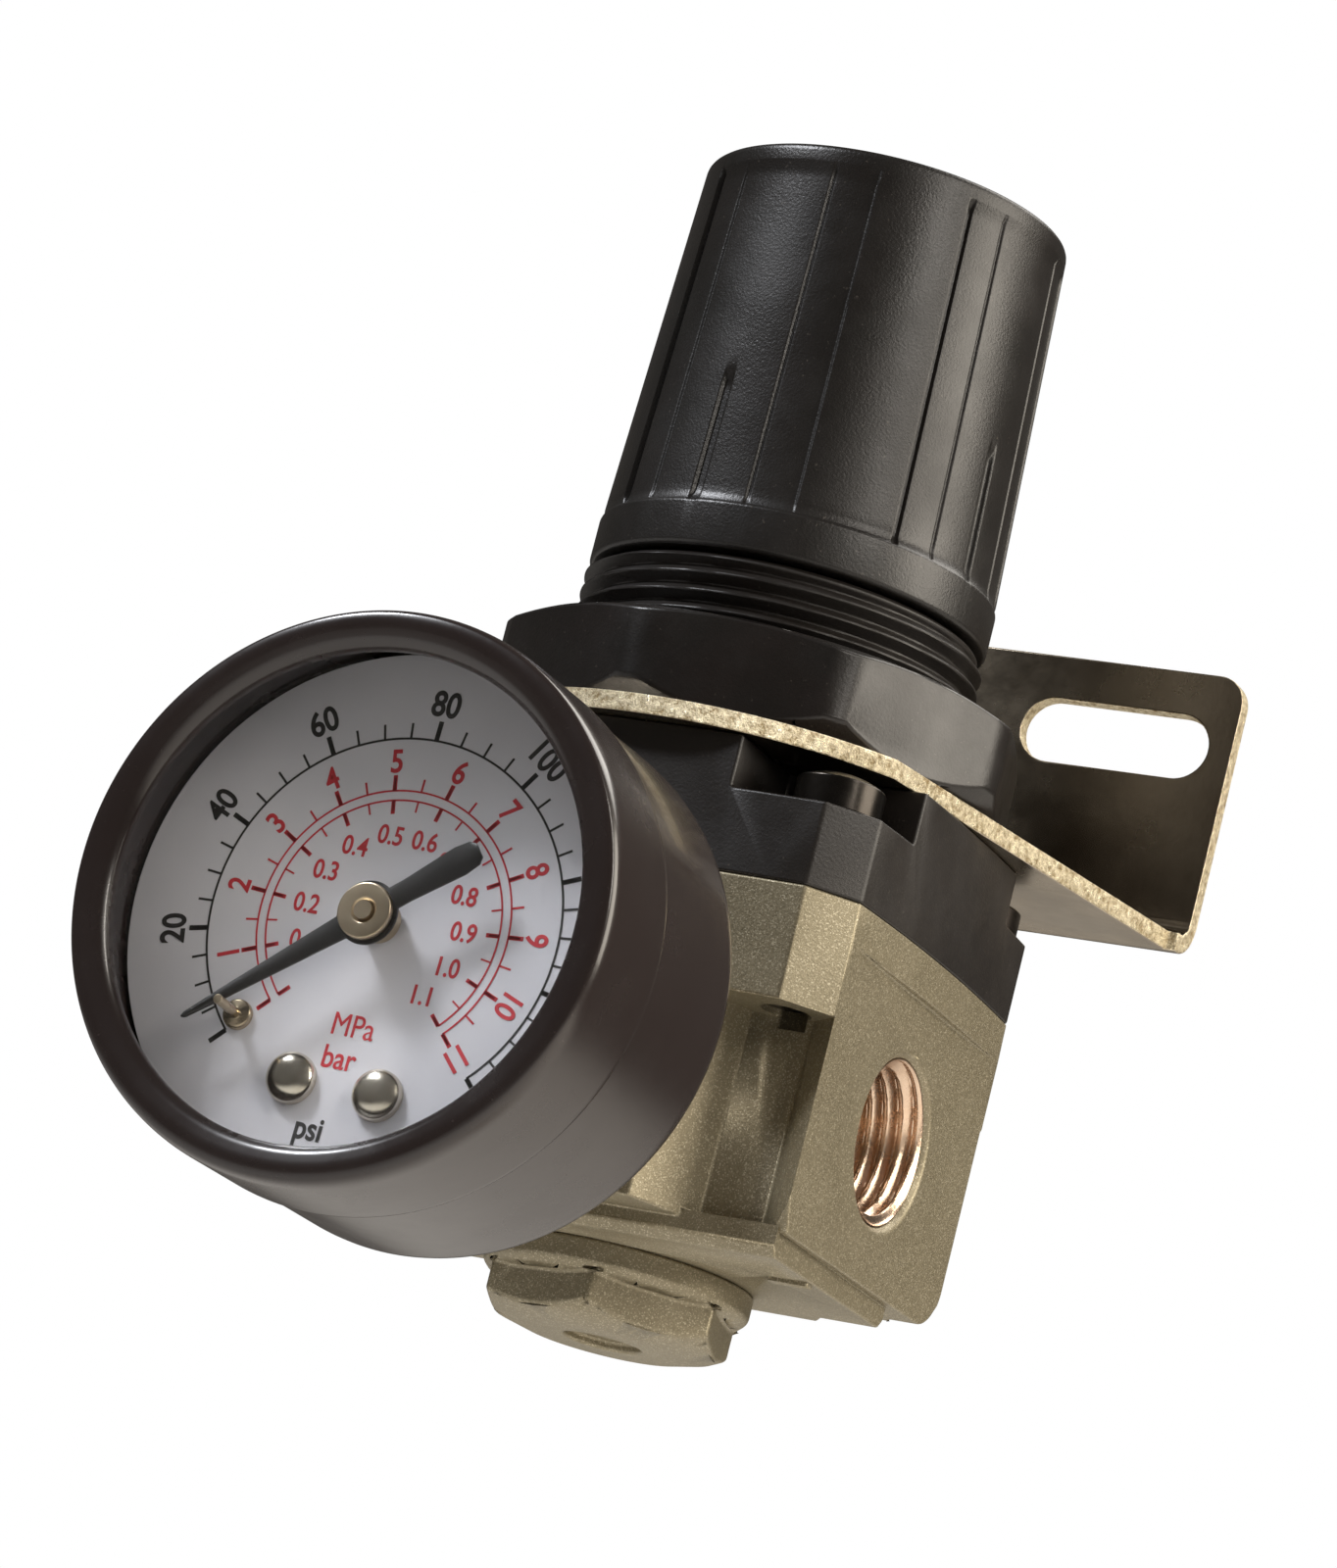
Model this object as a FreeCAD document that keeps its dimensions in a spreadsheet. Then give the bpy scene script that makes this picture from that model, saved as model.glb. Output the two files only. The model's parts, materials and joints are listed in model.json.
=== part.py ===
import FreeCAD, Part
import math
import os

import Sketcher
from FreeCAD import Placement, Rotation, Vector

# Air pressure regulator with a round gauge and a wall bracket.
#
# Working axes: X runs through the two air ports, Z up the knob and valve axis, and Y from the
# gauge (-Y) to the wall (+Y). Every piece is drawn about the point where the port axis crosses
# the knob axis, and its Placement then moves it so that the part's origin is the centre of the
# bracket's two slots, on the face that touches the wall. Lengths are millimetres.
#
# Gauge pieces are drawn about the gauge's own axis: local Z points out of the dial.

doc = FreeCAD.newDocument("air_pressure_regulator")
sizes = doc.addObject("Spreadsheet::Sheet", "sizes")

SIZES = {
    "construction": {
        "overrun": 1.0, "weld": 0.5, "edge_break": 0.3,
    },
    "die-cast body": {
        "block_width": 40.0, "block_bulge": 0.7, "corner_cut": 3.4,
        "joint_level": 14.5, "lip_level": 11.2, "ledge_level": 5.5,
        "flange_foot": -11.3, "foot_level": -13.2, "foot_front": 15.6, "foot_rear": 8.0,
        "foot_bevel": 0.7, "waist_half": 14.0, "flange_half": 16.4, "flange_root": 17.3,
        "flange_bevel_rise": 2.6, "flange_bevel_run": 1.1, "flange_round": 3.5,
        "boss_root_half": 12.0, "boss_face_half": 8.6, "port_radius": 6.58,
        "port_depth": 11.0, "port_bevel": 0.5, "gauge_drop": 0.9,
        "gauge_port_radius": 4.864, "gauge_port_depth": 8.0, "passage_radius": 3.0,
        "inlet_passage_drop": 1.5, "outlet_passage_radius": 2.4, "outlet_passage_place": 10.4,
        "sensing_radius": 1.2, "sensing_place": 11.4, "chamber_radius": 13.0,
        "chamber_floor": 6.5, "seat_level": 1.5, "seat_radius": 3.0, "valve_room_radius": 7.0,
        "valve_room_floor": -6.0, "port_point_radius": 2.4, "port_point_depth": 0.8,
        "tally_gap": 4.9, "tally_length": 3.4, "tally_width": 1.2, "tally_front": 7.2,
        "tally_height": 0.3, "rear_plug_sink": 0.5, "rear_plug_short": 1.0,
        "rear_hex_reach": 2.9,
    },
    "bottom plug": {
        "plug_thread_radius": 8.5, "plug_flange_radius": 10.7, "plug_flange_thick": 2.4,
        "plug_hex": 18.0, "plug_hex_height": 3.8, "plug_dome": 1.5, "plug_turn": -16.0,
        "plug_rim_run": 1.4, "plug_rim_rise": 0.5, "plug_recess_radius": 3.1,
        "plug_recess_depth": 0.8, "plug_top": -6.3, "pocket_radius": 5.6, "pocket_floor": -11.0,
        "guide_floor": -15.4, "ring_section": 1.4, "ring_squeeze": 0.02,
    },
    "valve": {
        "poppet_radius": 5.2, "poppet_foot": -1.5, "seal_thick": 1.2, "seal_radius": 4.8,
        "stem_radius": 1.2, "tail_radius": 2.0, "tail_foot": -11.5, "slide_gap": 0.05,
        "valve_spring_wire": 0.8, "valve_spring_radius": 4.2, "valve_spring_turns": 4.0,
    },
    "diaphragm": {
        "diaphragm_radius": 17.0, "diaphragm_thick": 1.0, "diaphragm_hole": 2.2,
        "plate_radius": 11.0, "plate_thick": 1.5, "plate_hub_radius": 7.0, "plate_hub_height": 1.5,
        "relief_disc_radius": 5.0, "relief_disc_thick": 1.2, "relief_tube_radius": 1.9,
        "relief_hole_radius": 0.7, "relief_rivet": 0.6,
    },
    "bonnet": {
        "deck_level": 25.4, "notch_level": 21.2, "notch_across": 8.8, "notch_along": 10.6,
        "thread_radius": 16.5, "thread_depth": 0.9, "thread_plain_top": 34.6,
        "neck_top": 41.0, "neck_plug": 8.3, "tower_bevel": 0.8, "spring_bore": 12.3,
        "spring_lead": 1.2, "tower_radius": 13.2, "tower_bore": 11.5,
        "tower_top": 61.0, "tower_deck": 3.0, "tower_step": 27.0, "key_width": 3.0,
        "key_depth": 0.9, "lock_count": 24.0, "lock_width": 0.8, "lock_height": 0.6,
        "lock_length": 2.4,
    },
    "bonnet screws": {
        "screw_place": 15.6, "screw_radius": 2.0, "screw_clearance": 0.2, "screw_tip": 6.0,
        "screw_head_radius": 3.5, "screw_head_height": 3.3, "screw_dome": 0.9,
        "cross_length": 3.6, "cross_width": 0.9, "cross_depth": 1.3,
        "first_screw_turn": 25.0, "screw_turn_step": 31.0,
    },
    "wall bracket": {
        "sheet": 1.6, "bracket_half": 28.0, "hole_gap": 0.25, "bracket_front": 23.2,
        "shoulder_x": 18.6, "shoulder_y": -13.2, "leg_gap": 30.4, "leg_top": 49.7,
        "bend_radius": 1.6, "taper_half": 27.2, "leg_corner": 2.5, "slot_pitch": 35.0,
        "slot_height": 43.2, "slot_width": 5.5, "slot_length": 16.7,
    },
    "panel nut": {
        "nut_flats": 40.96, "nut_corners": 43.56, "nut_height": 7.7, "nut_bevel": 1.7,
        "nut_top_bevel": 0.7, "nut_bevel_run": 1.5, "nut_turn": -4.6, "nut_skin": 0.15,
        "nut_thread_gap": 0.05,
    },
    "knob": {
        "knob_foot": 41.3, "knob_band": 3.7, "knob_radius": 16.35, "knob_base_radius": 16.2,
        "knob_top_radius": 15.0, "knob_step": 0.2, "knob_top": 76.0, "knob_crown": 1.5,
        "knob_wall": 1.7,
        "knob_mouth": 14.6, "knob_cap": 2.0, "hub_radius": 6.5, "hub_foot": 62.6,
        "socket_top": 73.0, "hex_gap": 0.05, "rib_count": 4.0, "rib_turn": -10.0, "rib_width": 0.9,
        "rib_depth": 0.35, "knob_lock_gap": 0.2,
    },
    "adjusting screw and spring": {
        "adjust_radius": 4.0, "adjust_tip": 42.0, "adjust_flange": 7.5, "adjust_flange_thick": 1.6,
        "adjust_hex": 7.0, "adjust_top": 69.0, "adjust_gap": 0.05, "flange_gap": 0.1,
        "clip_radius": 6.0, "clip_thick": 0.8, "clip_groove": 0.5, "clip_mouth": 3.2,
        "adjust_lead": 0.7, "follower_foot": 50.0, "follower_height": 5.2, "follower_hub": 1.5,
        "follower_gap": 0.3, "spring_wire": 2.5, "spring_radius": 8.8,
        "spring_turns": 6.5, "end_gap": 0.05,
    },
    "gauge case": {
        "case_back": 35.7, "case_radius": 21.0, "case_wall": 0.8, "case_front": 57.0,
        "case_round": 2.4, "bezel_wall": 0.4, "bezel_back": 50.7, "bezel_front": 60.5,
        "window_radius": 18.4, "bezel_round": 1.6, "lens_thick": 1.5, "lens_gap": 0.2,
        "gasket_width": 1.9, "gasket_thick": 0.4, "gauge_roll": -1.8,
        "socket_square": 12.0, "socket_neck": 5.45, "socket_fit": 0.05, "block_front": 44.0,
        "block_wide": 14.0, "block_high": 5.0, "block_low": 17.0, "orifice_radius": 0.8,
        "stem_short": 0.6, "window_bevel": 0.5, "bezel_skirt_break": 0.15,
    },
    "gauge face": {
        "dial_front": 52.15, "dial_thick": 0.5, "dial_gap": 1.1, "dial_hole": 1.5,
        "dial_screw_x": 3.45, "dial_screw_y": -12.1, "dial_screw_radius": 1.2,
        "dial_screw_head": 1.9, "dial_screw_dome": 1.25, "pin_radius": 0.35, "pin_reach": 12.3,
        "pin_angle": 223.2, "pin_front": 56.0, "pin_collar": 1.1, "pin_collar_thick": 0.5,
        "pointer_level": 54.6, "pointer_thick": 0.3,
        "pointer_reach": 15.6, "pointer_tail": 9.3, "pointer_tip_half": 0.22,
        "pointer_hub_half": 0.8, "pointer_neck_half": 0.85,
        "pointer_tail_half": 1.15, "pointer_tail_clip": 0.6, "pointer_tail_flare": 1.4,
        "pointer_rest": 219.4, "cap_radius": 1.6, "cap_base": 2.1, "cap_stem": 1.0,
        "cap_back": 52.6, "cap_rim": 0.5, "cap_edge": 0.15, "eye_radius": 2.35,
    },
    "gauge movement": {
        "frame_wide": 19.0, "frame_high": 8.0, "frame_low": 14.6, "back_plate_thick": 1.0,
        "front_plate_back": 49.6, "front_plate_thick": 0.8, "post_radius": 1.0, "post_x": 8.0,
        "post_y": -13.0, "upper_post_y": 5.5, "arbor_radius": 0.7,
        "pinion_radius": 1.6, "pinion_back": 46.2, "pinion_thick": 1.6,
        "boss_wall": 0.8, "pivot_play": 0.2, "sector_radius": 9.0, "sector_start": 31.0,
        "sector_span": 70.0, "sector_back": 46.5, "sector_thick": 0.8, "sector_heel": 1.6,
        "pivot_radius": 0.7, "tail_length": 4.0, "tail_end": 0.9, "tail_half": 1.0,
        "tail_angle": -12.0, "link_pin_radius": 0.4, "link_pin_height": 1.2, "link_play": 0.12,
        "link_gap": 0.2, "link_thick": 0.4, "link_half": 0.9, "link_slot_shift": 0.33,
        "link_slot_run": 0.42, "lug_x": 14.6, "lug_deep": 2.6, "lug_wall": 1.2,
        "lug_gap": 0.02, "mesh_gap": 0.08, "tube_radius": 15.6, "tube_wide": 6.0,
        "tube_thick": 1.8, "tube_wall": 0.3, "tube_level": 40.8, "tube_sweep": 240.0,
        "hair_inner": 0.8, "hair_pitch": 0.8, "hair_turns": 3.0,
        "hair_thick": 0.15, "hair_wide": 0.4, "hair_back": 48.4,
    },
}

line = 1
for title, group in SIZES.items():
    sizes.set(f"A{line}", title)
    for alias, number in group.items():
        line += 1
        sizes.set(f"A{line}", alias)
        sizes.set(f"B{line}", str(number))
        sizes.setAlias(f"B{line}", alias)
    line += 2
doc.recompute()

ALIASES = sorted((a for group in SIZES.values() for a in group), key=len, reverse=True)
nodes = []


def bound(formula):
    """The formula with each bare size name pointed at the sheet, as an expression needs it."""
    words = []
    word = ""
    for letter in str(formula) + " ":
        if letter.isalnum() or letter == "_":
            word += letter
            continue
        words.append("sizes." + word if word in ALIASES else word)
        words.append(letter)
        word = ""
    return "".join(words).strip()


def value(formula):
    """The number that a formula of size names gives."""
    return float(sizes.evalExpression(bound(formula)))


def bind(thing, place, formula):
    """Tie one property of a thing to a formula of size names."""
    thing.setExpression(place, bound(formula))


def origin_plane(body, role):
    """One of a body's own three origin planes."""
    return next(f for f in body.Origin.OriginFeatures if f.Role == role)


def settle(thing, on_gauge=False):
    """Place a finished piece so that the part's origin is the slot centre on the wall face."""
    if on_gauge:
        upright = Rotation(Vector(1, 0, 0), 90)
        roll = Rotation(Vector(0, 0, 1), value("gauge_roll"))
        thing.Placement = Placement(Vector(), upright * roll)
        bind(thing, ".Placement.Base.z", "-gauge_drop - slot_height")
    else:
        bind(thing, ".Placement.Base.z", "-slot_height")
    bind(thing, ".Placement.Base.y", "-leg_gap - sheet")
    nodes.append(thing)


def new_body(label, on_gauge=False):
    """An empty body with the part's placement."""
    body = doc.addObject("PartDesign::Body", label)
    body.Label = label
    settle(body, on_gauge)
    return body


def new_sketch(body, role, height="0"):
    """A sketch on one of the body's planes, moved along that plane's normal."""
    sketch = body.newObject("Sketcher::SketchObject", "Sketch")
    sketch.AttachmentSupport = [(origin_plane(body, role), "")]
    sketch.MapMode = "FlatFace"
    bind(sketch, ".AttachmentOffset.Base.z", height)
    return sketch


def fix_point(sketch, edge, end, x, y):
    """Tie one end of a sketch edge to its two coordinates."""
    for kind, formula in (("DistanceX", x), ("DistanceY", y)):
        index = sketch.addConstraint(Sketcher.Constraint(kind, -1, 1, edge, end, value(formula)))
        bind(sketch, f"Constraints[{index}]", formula)


def arc_between(start, end, radius):
    """An anticlockwise arc of less than half a turn; a negative radius bends the other way."""
    chord = end - start
    reach = abs(radius)
    rise = math.sqrt(max(reach * reach - chord.Length * chord.Length / 4, 0))
    side = Vector(-chord.y, chord.x, 0).normalize() * (1 if radius > 0 else -1)
    centre = (start + end) * 0.5 + side * rise
    first, last = (start, end) if radius > 0 else (end, start)
    angles = [math.atan2(p.y - centre.y, p.x - centre.x) for p in (first, last)]
    return Part.ArcOfCircle(Part.Circle(centre, Vector(0, 0, 1), reach), angles[0], angles[1])


def draw(sketch, corners):
    """A closed outline. Each corner is (x, y), or (x, y, radius) where an arc leaves it."""
    places = [Vector(value(c[0]), value(c[1]), 0) for c in corners]
    first = sketch.GeometryCount
    starts = []
    for i, corner in enumerate(corners):
        after = places[(i + 1) % len(corners)]
        if len(corner) == 2:
            sketch.addGeometry(Part.LineSegment(places[i], after), False)
            starts.append(1)
        else:
            sketch.addGeometry(arc_between(places[i], after, value(corner[2])), False)
            starts.append(1 if value(corner[2]) > 0 else 2)
    for i, corner in enumerate(corners):
        edge = first + i
        before = first + (i - 1) % len(corners)
        before_end = 2 if starts[i - 1] == 1 else 1
        sketch.addConstraint(Sketcher.Constraint("Coincident", before, before_end, edge, starts[i]))
        fix_point(sketch, edge, starts[i], corner[0], corner[1])
        if len(corner) == 3:
            index = sketch.addConstraint(Sketcher.Constraint("Radius", edge, abs(value(corner[2]))))
            bind(sketch, f"Constraints[{index}]", f"abs({corner[2]})")


def draw_circle(sketch, x, y, radius):
    """A full circle tied to its centre and radius."""
    edge = sketch.addGeometry(Part.Circle(Vector(value(x), value(y), 0), Vector(0, 0, 1), value(radius)))
    fix_point(sketch, edge, 3, x, y)
    index = sketch.addConstraint(Sketcher.Constraint("Radius", edge, value(radius)))
    bind(sketch, f"Constraints[{index}]", radius)


def extrude(body, kind, sketch, length, backwards=False, both_ways=False):
    """A pad or a pocket of a finished sketch, checked to add or remove material."""
    doc.recompute()
    before = body.Shape.Volume if body.Tip else 0.0
    feature = body.newObject("PartDesign::" + kind, kind)
    feature.Profile = sketch
    feature.Midplane = both_ways
    feature.Reversed = backwards
    bind(feature, "Length", length)
    doc.recompute()
    check_change(body, feature, kind == "Pad", before)
    return feature


def revolve(body, kind, sketch, axis="V_Axis"):
    """A full turn of a finished sketch about one of its own axes."""
    doc.recompute()
    before = body.Shape.Volume if body.Tip else 0.0
    feature = body.newObject("PartDesign::" + kind, kind)
    feature.Profile = sketch
    feature.ReferenceAxis = (sketch, [axis])
    feature.Angle = 360.0
    doc.recompute()
    check_change(body, feature, kind == "Revolution", before)
    return feature


def check_change(body, feature, adds, before):
    """Stop where a feature failed, or left the body's volume as it was."""
    if "Invalid" in feature.State or "Error" in feature.State or feature.Shape.isNull():
        raise RuntimeError(f"{body.Label}: {feature.Name} failed")
    change = feature.Shape.Volume - before
    if (change <= 0) if adds else (change >= 0):
        raise RuntimeError(f"{body.Label}: {feature.Name} changed the volume by {change}")


def turned(label, outline, on_gauge=False):
    """A lathe-turned piece: its half section as (radius, height) corners."""
    body = new_body(label, on_gauge)
    sketch = new_sketch(body, "XZ_Plane")
    draw(sketch, outline)
    revolve(body, "Revolution", sketch)
    return body


def cut_round(body, outline):
    """Take a ring-shaped space, given as a half section, out of a body."""
    sketch = new_sketch(body, "XZ_Plane")
    draw(sketch, outline)
    revolve(body, "Groove", sketch)


def cut_circles(body, role, height, circles, depth, backwards=False):
    """Drill round holes of one depth from one plane."""
    sketch = new_sketch(body, role, height)
    for circle in circles:
        draw_circle(sketch, *circle)
    extrude(body, "Pocket", sketch, depth, backwards)


def four_corners(x, y):
    """The four mirrored places of one point."""
    return [(f"{sx}({x})", f"{sy}({y})") for sx in ("", "-") for sy in ("", "-")]


def mirrored_ring(quarter):
    """A closed outline from its first-quadrant corners, listed anticlockwise."""
    ring = [(x, y) for x, y in quarter]
    ring += [(f"-({x})", y) for x, y in reversed(quarter)]
    ring += [(f"-({x})", f"-({y})") for x, y in quarter]
    ring += [(x, f"-({y})") for x, y in reversed(quarter)]
    return ring


def bulged_square(sketch):
    """The block's plan: four sides bowed outward by block_bulge, with cut corners."""
    long = "(block_width / 2)"
    short = "(block_width / 2 - corner_cut)"
    bow = f"(({short})^2 + block_bulge^2) / (2 * block_bulge)"
    draw(sketch, [
        (long, f"-{short}", bow), (long, short), (short, long, bow), (f"-{short}", long),
        (f"-{long}", short, bow), (f"-{long}", f"-{short}"), (f"-{short}", f"-{long}", bow),
        (short, f"-{long}"),
    ])


def slot_outline(x, y, run, half, upright=False):
    """A slot with round ends: run is half the straight length, half is half the width."""
    if upright:
        return [
            (f"{x} + {half}", f"{y} - {run}"), (f"{x} + {half}", f"{y} + {run}", half),
            (x, f"{y} + {run} + {half}", half), (f"{x} - {half}", f"{y} + {run}"),
            (f"{x} - {half}", f"{y} - {run}", half), (x, f"{y} - {run} - {half}", half),
        ]
    return [
        (f"{x} + {run}", f"{y} - {half}", half), (f"{x} + {run} + {half}", y, half),
        (f"{x} + {run}", f"{y} + {half}"), (f"{x} - {run}", f"{y} + {half}", half),
        (f"{x} - {run} - {half}", y, half), (f"{x} - {run}", f"{y} - {half}"),
    ]


def hexagon(sketch, flats, turn="0"):
    """A hexagon of a given width across flats, turned about the axis by some degrees."""
    corners = []
    for step in range(6):
        angle = f"(({turn} + {60 * step}) * 1 deg)"
        corners.append((f"{flats} / sqrt(3) * cos{angle}", f"{flats} / sqrt(3) * sin{angle}"))
    draw(sketch, corners)


def repeat_round(body, features, count):
    """Repeat features evenly about the body's own Z axis."""
    pattern = body.newObject("PartDesign::PolarPattern", "PolarPattern")
    pattern.Originals = features
    pattern.Axis = (origin_plane(body, "Z_Axis"), [""])
    pattern.Angle = 360.0
    bind(pattern, "Occurrences", count)
    body.Tip = pattern
    doc.recompute()
    if "Invalid" in pattern.State or not pattern.Shape.isValid():
        raise RuntimeError(f"{body.Label}: the pattern failed")


# ---------------------------------------------------------------- die-cast body

def make_body():
    body = new_body("body")
    sketch = new_sketch(body, "XY_Plane", "ledge_level")
    bulged_square(sketch)
    extrude(body, "Pad", sketch, "joint_level - ledge_level")

    # Waist, port flanges and the two gauge bosses under the ledge.
    sketch = new_sketch(body, "XY_Plane", "flange_foot")
    draw(sketch, mirrored_ring([
        ("block_width / 2", "flange_half"), ("flange_root", "waist_half"),
        ("boss_root_half", "waist_half"), ("boss_face_half", "block_width / 2"),
    ]))
    extrude(body, "Pad", sketch, "ledge_level - flange_foot + weld")

    # Flat port faces under the overhanging lip.
    sketch = new_sketch(body, "XY_Plane", "lip_level")
    for side in ("", "-"):
        draw(sketch, [
            (f"{side}(block_width / 2)", "-block_width / 2"),
            (f"{side}(block_width / 2 + 2 * block_bulge)", "-block_width / 2"),
            (f"{side}(block_width / 2 + 2 * block_bulge)", "block_width / 2"),
            (f"{side}(block_width / 2)", "block_width / 2"),
        ])
    extrude(body, "Pocket", sketch, "lip_level - ledge_level + overrun")

    # Lower corners of the port flanges: a bevel at the front, a round at the back.
    for side in (1, -1):
        sketch = new_sketch(body, "YZ_Plane", f"{side} * block_width / 2")
        out = "flange_half + overrun"
        below = "flange_foot - overrun"
        draw(sketch, [
            (f"-({out})", below), ("-(flange_half - flange_bevel_run)", below),
            ("-(flange_half - flange_bevel_run)", "flange_foot"),
            ("-flange_half", "flange_foot + flange_bevel_rise"),
            (f"-({out})", "flange_foot + flange_bevel_rise"),
        ])
        draw(sketch, [
            ("flange_half - flange_round", below), (out, below),
            (out, "flange_foot + flange_round"),
            ("flange_half", "flange_foot + flange_round", "-flange_round"),
            ("flange_half - flange_round", "flange_foot"),
        ])
        extrude(body, "Pocket", sketch, "block_width / 2 - flange_root", backwards=side < 0)

    # Shallow foot under the front two thirds of the body.
    sketch = new_sketch(body, "YZ_Plane")
    draw(sketch, [
        ("-foot_front", "flange_foot + weld"), ("-foot_front", "foot_level + foot_bevel"),
        ("-foot_front + foot_bevel", "foot_level"), ("foot_rear - foot_bevel", "foot_level"),
        ("foot_rear", "foot_level + foot_bevel"), ("foot_rear", "flange_foot + weld"),
    ])
    extrude(body, "Pad", sketch, "block_width - 2 * foot_bevel", both_ways=True)

    # The cast tally bars under the foot, one on each side of the plug.
    front = "-tally_front"
    back = "-tally_front + tally_width"
    for side in (1, -1):
        sketch = new_sketch(body, "XY_Plane", "foot_level - tally_height")
        near = f"{side} * (plug_flange_radius + tally_gap)"
        far = f"{side} * (plug_flange_radius + tally_gap + tally_length)"
        draw(sketch, [(near, front), (far, front), (far, back), (near, back)])
        extrude(body, "Pad", sketch, "tally_height + weld")

    # Stepped room up the middle: diaphragm recess, outlet chamber, seat, valve room, plug thread.
    ring_top = "foot_level + ring_section"
    cut_round(body, [
        ("0", "foot_level - overrun"), ("plug_thread_radius + ring_section", "foot_level - overrun"),
        ("plug_thread_radius + ring_section", ring_top), ("plug_thread_radius", ring_top),
        ("plug_thread_radius", "valve_room_floor"), ("valve_room_radius", "valve_room_floor"),
        ("valve_room_radius", "seat_level"), ("seat_radius", "seat_level"),
        ("seat_radius", "chamber_floor"), ("chamber_radius", "chamber_floor"),
        ("chamber_radius", "joint_level - diaphragm_thick"),
        ("diaphragm_radius", "joint_level - diaphragm_thick"),
        ("diaphragm_radius", "joint_level + overrun"), ("0", "joint_level + overrun"),
    ])

    # Air ports with a bevelled mouth and the drill's point in the floor, bored from both sides.
    for side in (1, -1):
        sketch = new_sketch(body, "XZ_Plane")
        floor = f"{side} * (block_width / 2 - port_depth)"
        point = f"{side} * (block_width / 2 - port_depth - port_point_depth)"
        outside = f"{side} * (block_width / 2 + overrun)"
        draw(sketch, [
            (point, "0"), (outside, "0"), (outside, "port_radius + port_bevel + overrun"),
            (f"{side} * (block_width / 2 - port_bevel)", "port_radius"), (floor, "port_radius"),
            (floor, "port_point_radius"), (point, "port_point_radius"),
        ])
        revolve(body, "Groove", sketch, "H_Axis")

    # Gauge ports, front and back.
    mouth = ("0", "-gauge_drop", "gauge_port_radius")
    deep = "gauge_port_depth + overrun"
    cut_circles(body, "XZ_Plane", "block_width / 2 + overrun", [mouth], deep)
    cut_circles(body, "XZ_Plane", "-block_width / 2 - overrun", [mouth], deep, True)

    # Inner passages: inlet to valve room, chamber to outlet, chamber to the gauge ports.
    inlet = ("0", "-inlet_passage_drop", "passage_radius")
    outlet = ("outlet_passage_place", "0", "outlet_passage_radius")
    cut_circles(body, "YZ_Plane", "-valve_room_radius + weld", [inlet],
                "block_width / 2 - port_depth - valve_room_radius + 2 * weld")
    above = "chamber_floor + weld"
    cut_circles(body, "XY_Plane", above, [outlet], above)
    wells = [("0", f"{side}sensing_place", "sensing_radius") for side in ("", "-")]
    cut_circles(body, "XY_Plane", above, wells, f"{above} + gauge_drop")
    branch = [("0", "-gauge_drop", "sensing_radius")]
    reach = "block_width / 2 - gauge_port_depth - sensing_place + weld"
    cut_circles(body, "XZ_Plane", "sensing_place", branch, reach, True)
    cut_circles(body, "XZ_Plane", "-sensing_place", branch, reach)

    # Through holes for the bonnet screws; they come out under the ledge.
    screws = [(x, y, "screw_radius") for x, y in four_corners("screw_place", "screw_place")]
    cut_circles(body, "XY_Plane", "joint_level", screws, "joint_level - ledge_level + overrun")
    return body


def make_rear_plug():
    """Hexagon-socket plug that closes the spare gauge port at the back."""
    body = new_body("rear_gauge_port_plug")
    face = "-block_width / 2 + rear_plug_sink"
    sketch = new_sketch(body, "XZ_Plane", face)
    draw_circle(sketch, "0", "-gauge_drop", "gauge_port_radius")
    extrude(body, "Pad", sketch, "gauge_port_depth - rear_plug_short")
    sketch = new_sketch(body, "XZ_Plane", face)
    corners = []
    for step in range(6):
        angle = f"({60 * step} deg)"
        corners.append((f"rear_hex_reach * cos{angle}", f"-gauge_drop + rear_hex_reach * sin{angle}"))
    draw(sketch, corners)
    extrude(body, "Pocket", sketch, "gauge_port_depth / 2", True)
    return body


# ---------------------------------------------------------------- bottom plug and valve

def make_bottom_plug():
    flange_foot = "(foot_level - plug_flange_thick)"
    hex_foot = "(foot_level - plug_flange_thick - plug_hex_height)"
    body = new_body("bottom_plug")
    sketch = new_sketch(body, "XY_Plane", flange_foot)
    hexagon(sketch, "plug_hex", "plug_turn")
    extrude(body, "Pad", sketch, "plug_hex_height", backwards=True)
    # The hexagon's lower corners are turned to a dome in two steps.
    corner = "plug_hex / sqrt(3)"
    inner = f"{corner} - 2.6 * plug_dome"
    outside = f"{corner} + overrun"
    cut_round(body, [
        (inner, f"{hex_foot} - overrun"), (outside, f"{hex_foot} - overrun"),
        (outside, f"{hex_foot} + 1.25 * plug_dome"), (corner, f"{hex_foot} + plug_dome"),
        (f"{corner} - plug_dome", f"{hex_foot} + 0.45 * plug_dome"), (inner, hex_foot),
    ])
    sketch = new_sketch(body, "XZ_Plane")
    draw(sketch, [
        ("0", f"{flange_foot} - weld / 2"),
        ("plug_flange_radius - plug_rim_run", f"{flange_foot} - weld / 2"),
        ("plug_flange_radius - plug_rim_rise", flange_foot),
        ("plug_flange_radius", f"{flange_foot} + plug_rim_rise"),
        ("plug_flange_radius", "foot_level"), ("plug_thread_radius", "foot_level"),
        ("plug_thread_radius", "plug_top"), ("0", "plug_top"),
    ])
    revolve(body, "Revolution", sketch)
    cut_round(body, [
        ("0", "plug_top + overrun"), ("pocket_radius", "plug_top + overrun"),
        ("pocket_radius", "pocket_floor"),
        ("tail_radius + slide_gap", "pocket_floor"), ("tail_radius + slide_gap", "guide_floor"),
        ("0", "guide_floor"),
    ])
    cut_round(body, [
        ("0", f"{hex_foot} - overrun"), ("plug_recess_radius", f"{hex_foot} - overrun"),
        ("plug_recess_radius", f"{hex_foot} + plug_recess_depth"),
        ("0", f"{hex_foot} + plug_recess_depth"),
    ])
    return body


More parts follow.
